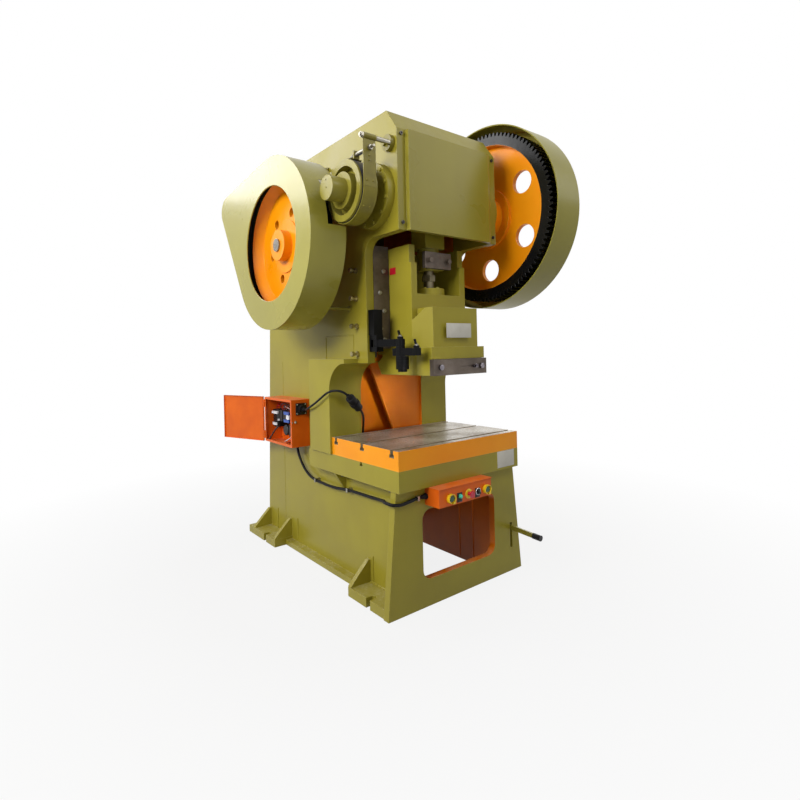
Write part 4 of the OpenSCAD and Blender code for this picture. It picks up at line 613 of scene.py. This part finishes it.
drum_paint = (shade(150, 141, 54), shade(132, 122, 42), shade(212, 204, 148))
bare_drum = (shade(84, 84, 104), shade(60, 60, 78), shade(130, 130, 146))


def from_axle(tree, place, axle):
    """How far a point is from an axle that lies across the press."""
    away = put(tree, "VectorMath", {0: place, 1: axle}, operation="SUBTRACT").outputs[0]
    flat = put(tree, "VectorMath", {0: away, 1: (0.0, 1.0, 1.0)}, operation="MULTIPLY").outputs[0]
    return put(tree, "VectorMath", {0: flat}, operation="LENGTH").outputs["Value"]


def drum_track(tree, place):
    """Mask of the bare ring that the brake's lining runs on."""
    sides = inside_boxes(tree, [((-0.671, -2.0, 1.0), (-0.575, 1.0, 4.0))])
    return times(tree, sides, remap(tree, from_axle(tree, place, crank_axis), 0.1860, 0.1866))


dress(enamel("olive_drum", drum_paint, (drum_track, bare_drum), patch=8.0, radius=0.002), "brake_drum")
lining = moulded("friction_lining", shade(38, 34, 30), shade(70, 62, 54), 0.8, grain=260.0, bump=0.6)
dress(lining, "brake_lining")
zinc = worked_metal("zinc_plated", shade(188, 184, 172), shade(132, 128, 116), shade(120, 104, 70),
                    rough=0.30, metallic=0.9, scale=220.0, radius=0.001)
dress(zinc, "brake_spring_rod", "cable_clips", "lever_pivot")

# Crank and shafts: forged steel, turned bright where it runs in its bronze bushes; the
# crank's cheeks inside the head are painted orange and its outer end olive
bronze = worked_metal("machined_bronze", shade(196, 146, 74), shade(140, 98, 44), shade(90, 70, 40),
                      scale=260.0, stretch=(6.0, 1.0, 1.0))
dress(bronze, "crank_bushes", "gear_bush")
bright_steel = worked_metal("turned_steel", shade(178, 174, 166), shade(120, 114, 106), shade(110, 84, 60),
                            rough=0.27, metallic=0.9, scale=160.0, stretch=(12.0, 1.0, 1.0))
dress(bright_steel, "clutch_key", "pinion_shaft", "motor_shaft")


def crank_cheeks(tree, place):
    """Mask of the crank between the frame's side plates."""
    return inside_boxes(tree, [((-0.379, -1.2, 2.0), (0.379, 0.0, 3.0))])


crank_paint = enamel("painted_crank", drum_paint, (crank_cheeks, inner_orange), patch=8.0, radius=0.002)
dress(crank_paint, "crankshaft")

# Gibs, clamps and pulley: planed or turned steel left bare and oiled; the gibs are held
# by capped screws in front and by plated adjusting bolts at the side
planed = worked_metal("planed_steel", shade(116, 104, 92), shade(76, 66, 58), shade(92, 62, 40), rough=0.36,
                      metallic=0.55, scale=40.0, stretch=(1.0, 1.0, 9.0), dust=0.1)
dress(planed, "gibs", "screw_clamp", "shank_clamp", "motor_pulley")
yellow_zinc = worked_metal("yellow_zinc", shade(206, 192, 138), shade(120, 110, 76), shade(90, 80, 50),
                           rough=0.28, metallic=0.9, scale=220.0, radius=0.001)
dress(yellow_zinc, "gib_bolts")
dark_chrome = worked_metal("dark_chrome", shade(186, 180, 186), shade(84, 78, 84), shade(60, 50, 46),
                           rough=0.15, metallic=1.0, scale=300.0, bump=0.1, radius=0.0016)
dress(dark_chrome, "clamp_screws")
gib_face = -0.5975
cap_spots = ((0.295, 1.671), (0.329, 1.745), (0.295, 1.867), (0.329, 1.989), (0.295, 2.136))
cap = [(0.0150, 0.0), (0.0150, 0.0020), (0.0125, 0.0024), (0.0125, 0.0100), (0.0110, 0.0115),
       (0.0066, 0.0115), (0.0062, 0.0060)]
caps = [turned(cap, (side * x, gib_face, z), forward, sides=24)
        for side in (-1, 1) for x, z in cap_spots]
fix_to(join(caps), "gib_screw_heads", "press_frame", zinc, smooth=30)

# Guards: rolled sheet rings welded to flat sides, sprayed olive, their edges rolled
# over a wire
guard_paint = enamel("olive_guard", (shade(160, 152, 62), shade(148, 140, 54), shade(222, 216, 170)),
                     rough=0.26, patch=1.3, peel=90.0, radius=0.002, bump=0.3, coat_weight=0.25)
dress(guard_paint, "flywheel_guard")
gear_guard_paint = enamel("olive_gear_guard", (shade(148, 140, 48), shade(136, 128, 40),
                                               shade(206, 200, 150)), rough=0.32, patch=1.3, peel=90.0,
                          radius=0.002)
dress(gear_guard_paint, "gear_guard")
shaft_axis = (0.0, -0.0446, 2.3553)
hem_wire = 0.0045


def loose_wire(points, radius):
    """A round wire along these points, as a mesh."""
    pick(bent_line("loose_wire", points, radius, roundness=2, steps=6))
    bpy.ops.object.convert(target="MESH")
    return bpy.context.object


def rolled_hem(name, x, axis, radius, finish):
    """The guard's edge rolled over a wire, as one round ring."""
    steps = [(radius + hem_wire * math.cos(a * math.pi / 5), hem_wire * math.sin(a * math.pi / 5))
             for a in range(11)]
    fix_to(turned(steps, (x, *axis[1:]), (1, 0, 0), sides=120, ring=True), name, "press_frame", finish,
           smooth=60)


rolled_hem("flywheel_guard_hem", -0.8655, shaft_axis, 0.4005, guard_paint)
# The rim's hem stops where the bulge over the pinion begins
arc = [math.radians(-7.05 + 336.9 * i / 60) for i in range(61)]
rim_x, rim_radius = 0.5565, 0.6781
rim = loose_wire([(rim_x, crank_axis[1] + rim_radius * math.cos(a),
                   crank_axis[2] + rim_radius * math.sin(a)) for a in arc], hem_wire)
fix_to(rim, "gear_guard_rim_hem", "press_frame", gear_guard_paint, smooth=60)
rolled_hem("gear_guard_back_hem", 0.7955, crank_axis, 0.5595, gear_guard_paint)

# Big gear and flywheel: iron castings with an orange web and a black greased rim, which
# run on the crank and on the pinion's shaft
black_rim = (shade(16, 16, 18), shade(8, 8, 9), shade(60, 60, 62))


def wheel_paint(name, axle, limit):
    """Orange paint on a wheel, and its black rim further out than limit."""
    def rim(tree, place):
        wobble = remap(tree, noise(tree, place, 12.0, 3.0), 0.0, 1.0, -0.0015, 0.0015)
        radius = calc(tree, "ADD", from_axle(tree, place, axle), wobble)
        return remap(tree, radius, limit - 0.0006, limit + 0.0006)
    return enamel(name, amber, (rim, black_rim), rough=0.32, other_rough=0.22)


dress(wheel_paint("orange_gear", crank_axis, 0.540), "big_gear")
dress(wheel_paint("orange_flywheel", shaft_axis, 0.4405), "flywheel")

# Motor: a grey casting with cooling fins, a pressed fan grille and a screwed terminal
# lid; it drives the flywheel by black rubber belts
motor_paint = enamel("grey_motor", (shade(112, 122, 130), shade(88, 98, 106), shade(160, 168, 174)),
                     rough=0.35, patch=8.0)
dress(motor_paint, "motor")
fan_end = (-0.0602, 0.760, 2.765)
grille = [turned([(r, 0.0), (r + 0.003, 0.0024), (r + 0.006, 0.0), (r, 0.0)], fan_end, (1, 0, 0), sides=48,
                 ring=True) for r in (0.024, 0.044, 0.064, 0.084, 0.104, 0.124)]
grille.append(turned([(0.018, 0.0), (0.016, 0.003), (0.006, 0.004)], fan_end, (1, 0, 0)))
lid = chamfer(plate_block((-0.454, 0.681, 2.9755), (-0.306, 0.839, 2.9865)), 0.003)
lid_screw = turned([(0.005, 0.0), (0.0048, 0.002), (0.002, 0.0032)], (-0.446, 0.689, 2.9862), sides=16)
lid_screws = copied(lid_screw, [(x, y, 0) for x in (0, 0.132) for y in (0, 0.142)])
fix_to(join(grille + [lid, lid_screws]), "motor_grille_and_lid", "press_frame", motor_paint,
       smooth=30)
dress(moulded("belt_rubber", shade(30, 29, 28), shade(58, 56, 54), 0.62, grain=160.0, bump=0.5), "v_belts")

# Electrical box: folded sheet, sprayed red-orange, with a hinged door, a quarter-turn
# latch and a black flange socket screwed on its front
box_paint = enamel("red_orange_box", (shade(226, 104, 22), shade(212, 90, 14), shade(244, 160, 96)),
                   rough=0.36, patch=6.0, peel=200.0, radius=0.0015)
dress(box_paint, "electrical_box", "box_door", "panel_box")
box_front = 0.2252
latch = join([turned([(0.011, 0.0), (0.011, 0.002), (0.0085, 0.003), (0.0085, 0.006), (0.0070, 0.0075)],
                     (-0.563, box_front, 1.057), forward, sides=24),
              chamfer(plate_block((-0.5650, 0.2162, 1.050), (-0.5610, 0.2192, 1.064)), 0.0008),
              turned([(0.005, 0.0), (0.0048, 0.0025), (0.002, 0.004)], (-0.590, box_front, 1.055),
                     forward, sides=12)])
fix_to(latch, "box_latch", "press_frame", zinc, smooth=30)
black_plastic = moulded("black_moulding", shade(20, 20, 22), shade(76, 76, 80), 0.40, dust=0.06,
                        Specular_IOR_Level=0.35)
dress(black_plastic, "contactors", "box_socket", "selector_knob", "lever_grip")
corner_screw = [(0.0060, 0.0), (0.0058, 0.0020), (0.0042, 0.0038), (0.0014, 0.0042)]
socket_screw_heads = copied(turned(corner_screw, (-0.549, 0.2172, 1.122), forward, sides=16),
                            [(x, 0, z) for x in (0, 0.070) for z in (0, 0.070)])
fix_to(socket_screw_heads, "socket_flange_screws", "press_frame", zinc, smooth=30)

# Switchgear inside the box: white and blue terminal blocks on a black moulded body,
# a round relay, single wires, and a stay cable that hangs out over the box's lip
white_plastic = moulded("white_moulding", shade(232, 232, 236), shade(250, 250, 250), 0.34, dust=0.0)
blue_plastic = moulded("blue_moulding", shade(48, 86, 168), shade(110, 146, 214), 0.34, dust=0.0)
red_sheath = moulded("red_wire", shade(178, 20, 34), shade(214, 80, 90), 0.4, dust=0.0)
body = [chamfer(plate_block((-0.5330, 0.586, 0.988), (-0.4460, 0.690, 1.126)), 0.004),
        chamfer(plate_block((-0.5400, 0.302, 0.925), (-0.4440, 0.392, 1.018)), 0.004),
        turned([(0.040, 0.0), (0.042, 0.004), (0.042, 0.030), (0.038, 0.034), (0.020, 0.035)],
               (-0.500, 0.462, 0.968), (-1, 0, 0), sides=40)]
fix_to(join(body), "switchgear_bodies", "press_frame", black_plastic, smooth=30)


def terminal_blocks(name, finish, places):
    """Small moulded blocks, each with a shallow well for its clamp screws in its face."""
    made = []
    for low, high in places:
        block = plate_block(low, high)
        edit(faces=True)
        bpy.ops.mesh.select_all(action="DESELECT")
        bpy.ops.object.mode_set(mode="OBJECT")
        for face in block.data.polygons:
            face.select = face.normal.x < -0.9
        bpy.ops.object.mode_set(mode="EDIT")
        bpy.ops.mesh.inset(thickness=0.0035, depth=-0.003)
        bpy.ops.object.mode_set(mode="OBJECT")
        made.append(chamfer(block, 0.0022))
    fix_to(join(made), name, "press_frame", finish, smooth=30)


terminal_blocks("white_terminals", white_plastic, [
    ((-0.5480, 0.588, 1.090), (-0.5300, 0.640, 1.114)), ((-0.5480, 0.643, 1.090), (-0.5300, 0.688, 1.112)),
    ((-0.5480, 0.600, 0.996), (-0.5300, 0.676, 1.018)), ((-0.5440, 0.566, 1.036), (-0.5300, 0.586, 1.050)),
    ((-0.5450, 0.378, 1.060), (-0.5300, 0.428, 1.094))])
terminal_blocks("blue_terminals", blue_plastic, [
    ((-0.5460, 0.378, 1.096), (-0.5300, 0.470, 1.120)), ((-0.5460, 0.380, 1.034), (-0.5300, 0.474, 1.056))])


def wires(name, finish, routes):
    """Single wires, each with its radius and its route, as one piece."""
    made = [loose_wire(route, radius) for radius, route in routes]
    fix_to(join(made), name, "press_frame", finish, smooth=60)


wires("red_wires", red_sheath, [
    (0.0028, [(-0.500, 0.560, 1.120), (-0.512, 0.590, 1.150), (-0.516, 0.640, 1.156),
              (-0.505, 0.680, 1.122)]),
    (0.0028, [(-0.490, 0.545, 1.120), (-0.500, 0.580, 1.162), (-0.502, 0.650, 1.168),
              (-0.492, 0.684, 1.120)]),
    (0.0028, [(-0.500, 0.330, 0.930), (-0.540, 0.336, 0.905), (-0.552, 0.370, 0.886),
              (-0.530, 0.430, 0.874), (-0.490, 0.450, 0.8625)]),
    (0.0028, [(-0.500, 0.360, 0.930), (-0.548, 0.366, 0.910), (-0.560, 0.400, 0.890),
              (-0.540, 0.450, 0.876), (-0.500, 0.470, 0.8625)])])
wires("white_wires", white_plastic, [
    (0.0030, [(-0.505, 0.345, 0.930), (-0.556, 0.350, 0.915), (-0.566, 0.392, 0.893),
              (-0.548, 0.438, 0.880), (-0.505, 0.462, 0.8625)]),
    (0.0030, [(-0.470, 0.470, 1.120), (-0.500, 0.486, 1.146), (-0.504, 0.540, 1.150),
              (-0.470, 0.560, 1.120)])])
wires("black_wires", black_plastic, [
    (0.0060, [(-0.520, 0.594, 0.992), (-0.548, 0.606, 0.968), (-0.572, 0.626, 0.924),
              (-0.590, 0.643, 0.884)]),
    (0.0035, [(-0.480, 0.420, 1.120), (-0.520, 0.424, 1.160), (-0.530, 0.470, 1.170),
              (-0.500, 0.520, 1.122)]),
    (0.0035, [(-0.480, 0.390, 1.120), (-0.526, 0.398, 1.172), (-0.540, 0.500, 1.180),
              (-0.510, 0.600, 1.124)]),
    (0.0060, [(-0.514, 0.240, 1.157), (-0.520, 0.280, 1.150), (-0.510, 0.330, 1.100),
              (-0.495, 0.350, 1.010)])])

# Control panel: moulded push buttons in yellow shrouds and chrome rings, a red stop
# button on a yellow ring, a chrome-ringed selector and a lamp with a domed lens
yellow_plastic = moulded("yellow_moulding", shade(246, 208, 30), shade(252, 228, 110), 0.28, dust=0.05)
dress(yellow_plastic, "button_shrouds")
green_plastic = moulded("green_moulding", shade(20, 84, 52), shade(60, 130, 96), 0.26, dust=0.0)
dress(green_plastic, "left_button", "right_button")
dress(moulded("red_moulding", shade(206, 30, 58), shade(236, 90, 110), 0.26, dust=0.0), "stop_button")
dress(black_plastic, "pilot_lamp")
left_item, item_step, panel_face, item_height = -0.214, 0.080, -1.118, 0.682
item = [(left_item + item_step * i, panel_face, item_height) for i in range(5)]
chrome = worked_metal("chrome_plate", shade(206, 206, 208), shade(150, 150, 154), shade(120, 116, 108),
                      rough=0.14, metallic=1.0, scale=400.0, bump=0.05, radius=0.0006)
collar = [(0.0176, 0.004), (0.0176, 0.0085), (0.0190, 0.0100), (0.0215, 0.0100), (0.0230, 0.0080),
          (0.0230, 0.004), (0.0176, 0.004)]
collars = join([turned(collar, item[i], forward, sides=48, ring=True) for i in (0, 4)])
fix_to(collars, "button_collars", "press_frame", chrome, smooth=40)
fix_to(turned([(0.0186, 0.0002), (0.0186, 0.009), (0.0196, 0.0104), (0.0214, 0.0104), (0.0226, 0.009),
               (0.0226, 0.0002), (0.0186, 0.0002)], item[3], forward, sides=48, ring=True),
       "selector_collar", "press_frame", chrome, smooth=40)
fix_to(turned([(0.0116, 0.0002), (0.0116, 0.0030), (0.0150, 0.0048), (0.0270, 0.0048), (0.0300, 0.0030),
               (0.0300, 0.0002), (0.0116, 0.0002)], item[2], forward, sides=56, ring=True),
       "stop_ring", "press_frame", yellow_plastic, smooth=40)
holders = []
for i in (1, 3):
    x, y, z = item[i]
    holders.append(chamfer(plate_block((x - 0.0225, y - 0.0022, z - 0.038),
                                       (x + 0.0225, y + 0.0002, z + 0.021)), 0.0012))
    holders.append(chamfer(plate_block((x - 0.016, y - 0.0046, z - 0.035),
                                       (x + 0.016, y - 0.0018, z - 0.023)), 0.0010))
fix_to(join(holders), "item_holders", "press_frame", black_plastic, smooth=30)
lens_finish = moulded("turquoise_lens", shade(74, 226, 190), shade(190, 250, 234), 0.14, grain=90.0,
                      dust=0.0)
dome = [(0.0138, 0.0050), (0.0138, 0.0120), (0.0128, 0.0165), (0.0102, 0.0200), (0.0060, 0.0222),
        (0.0015, 0.0228)]
fix_to(turned(dome, item[1], forward, sides=40), "lamp_lens", "press_frame", lens_finish,
       smooth=60)

# Slide: a machined box section, sprayed olive, with its rod, an oiled height screw, a
# ring over the screw's ball, and a red pointer on the stroke scale
slide_paint = enamel("olive_slide", (shade(160, 148, 48), shade(148, 136, 40), shade(214, 206, 140)),
                     rough=0.32, dust=0.6)
dress(slide_paint, "slide_ram", "connecting_rod", "rod_cap", "ball_ring")
oiled_screw = worked_metal("oiled_screw", shade(134, 124, 96), shade(90, 82, 60), shade(100, 76, 46),
                           rough=0.3, metallic=0.6, scale=120.0, stretch=(1.0, 1.0, 12.0))
dress(oiled_screw, "ball_screw")
red_pointer = enamel("red_pointer", (shade(206, 24, 44), shade(170, 16, 34), shade(230, 90, 100)),
                     radius=0.001)
dress(red_pointer, "stroke_pointer")

# Foot lever and jointed arm: the lever is flame-cut bar, sprayed olive, with a black
# grip; the arm is black enamelled steel, clamped at its two joints
lever_paint = enamel("olive_lever", (shade(142, 134, 48), shade(126, 118, 40), shade(192, 184, 116)),
                     patch=7.0, radius=0.0015)
dress(lever_paint, "foot_lever")
arm_enamel = enamel("black_arm", (shade(12, 12, 13), shade(7, 7, 8), shade(64, 64, 68)), rough=0.34,
                    patch=9.0, radius=0.0015, dust=0.04, coat_weight=0.03, shine=0.08)
dress(arm_enamel, "arm_bracket", "first_arm", "second_arm")
# Steel nuts on the arm's elbow and tip, and ribs round its hanging head
elbow, arm_turn, arm_length = Vector((-0.354457, -0.839739, 1.585)), math.radians(-78), 0.130
tip = elbow + Vector((arm_length * math.cos(arm_turn), arm_length * math.sin(arm_turn), 0))
nut = [(0.0160, 0.0), (0.0160, 0.0020), (0.0120, 0.0024), (0.0120, 0.0100), (0.0100, 0.0116)]
for name, body, centre, height in (("elbow_nut", "arm_inner", elbow, 1.683),
                                   ("tip_nut", "arm_outer", tip, 1.623)):
    fix_to(turned(nut, (centre.x, centre.y, height), sides=6), name, body, bright_steel)
head_x, head_y = 0.014 * math.cos(arm_turn), 0.014 * math.sin(arm_turn)
rib = [(0.0400, 0.0), (0.0432, 0.0010), (0.0432, 0.0050), (0.0400, 0.0060), (0.0400, 0.0)]
ribs = join([turned(rib, elbow + Vector((head_x, head_y, drop)), sides=48, ring=True)
             for drop in (-0.044, -0.058, -0.104)])
fix_to(ribs, "lamp_head_rings", "arm_outer", arm_enamel, smooth=40)

# Floor and backdrop: a wide pale studio floor that runs out into white, and keeps
# the press's soft shadow near its feet.
pick()
bpy.ops.mesh.primitive_plane_add(size=60, location=(0, 0, -0.001))
floor = bpy.context.object
floor.name = "studio_floor"
material, tree, shader = new_finish("pale_floor", Roughness=0.9)
shader.inputs["Base Color"].default_value = shade(164, 163, 160)


def seen_rays(tree):
    """1 for the rays that show the white background: seen, mirrored or through glass."""
    rays = put(tree, "LightPath").outputs
    return calc(tree, "MAXIMUM", calc(tree, "MAXIMUM", rays["Is Camera Ray"], rays["Is Glossy Ray"]),
                rays["Is Transmission Ray"])


far = put(tree, "VectorMath", {0: own_place(tree)}, operation="LENGTH").outputs["Value"]
white = put(tree, "Emission", {"Color": (1, 1, 1, 1), "Strength": 1.0}).outputs[0]
share = times(tree, seen_rays(tree), remap(tree, far, 1.4, 4.2, 0.86, 1.0))
mixed = put(tree, "MixShader", {0: share, 1: shader.outputs[0], 2: white}).outputs[0]
tree.links.new(mixed, tree.nodes["Material Output"].inputs["Surface"])
floor.data.materials.append(material)

# Studio light: a white room; wide soft lamps high on the left side, at a window behind
# it, before the head, low in front, at the right front and on the far side; and a
# narrow one into the throat.
room = bpy.data.worlds.new("white_room")
scene.world = room
room.use_nodes = True
tree = room.node_tree
soft = tree.nodes["Background"]
soft.inputs["Color"].default_value = (1, 1, 1, 1)
soft.inputs["Strength"].default_value = 0.13
plain = put(tree, "Background", {"Color": (1, 1, 1, 1), "Strength": 1.0}).outputs[0]
mixed = put(tree, "MixShader", {0: seen_rays(tree), 1: soft.outputs[0], 2: plain}).outputs[0]
tree.links.new(mixed, tree.nodes["World Output"].inputs["Surface"])


def soft_lamp(name, place, aim, width, height, watts, spread=180):
    lamp = bpy.data.lights.new(name, "AREA")
    lamp.shape = "RECTANGLE"
    lamp.size, lamp.size_y, lamp.energy = width, height, watts
    lamp.spread = math.radians(spread)
    holder = bpy.data.objects.new(name, lamp)
    scene.collection.objects.link(holder)
    holder.location = place
    holder.visible_camera = False
    holder.rotation_euler = (Vector(aim) - Vector(place)).to_track_quat("-Z", "Y").to_euler()


soft_lamp("side_lamp", (-5.6, -1.2, 4.0), (0, -0.3, 1.4), 3.6, 1.8, 320)
soft_lamp("window_lamp", (-3.6, 4.5, 5.3), (-0.5, -0.2, 2.4), 3.5, 2.2, 140)
soft_lamp("head_lamp", (0.6, -3.4, 4.8), (0, -0.9, 2.6), 1.6, 1.2, 42)
soft_lamp("front_lamp", (-0.9, -6.2, 1.5), (0, -0.3, 1.1), 1.4, 1.4, 21)
soft_lamp("throat_lamp", (-0.9, -6.2, 1.5), (-0.06, 0.1, 1.25), 0.25, 0.25, 0.3, spread=6)
soft_lamp("right_lamp", (4.2, -4.6, 5.0), (0, -0.6, 1.8), 3.0, 2.4, 40)
soft_lamp("far_side_lamp", (5.8, 0.7, 3.4), (0, -0.2, 1.6), 3.6, 2.4, 190)
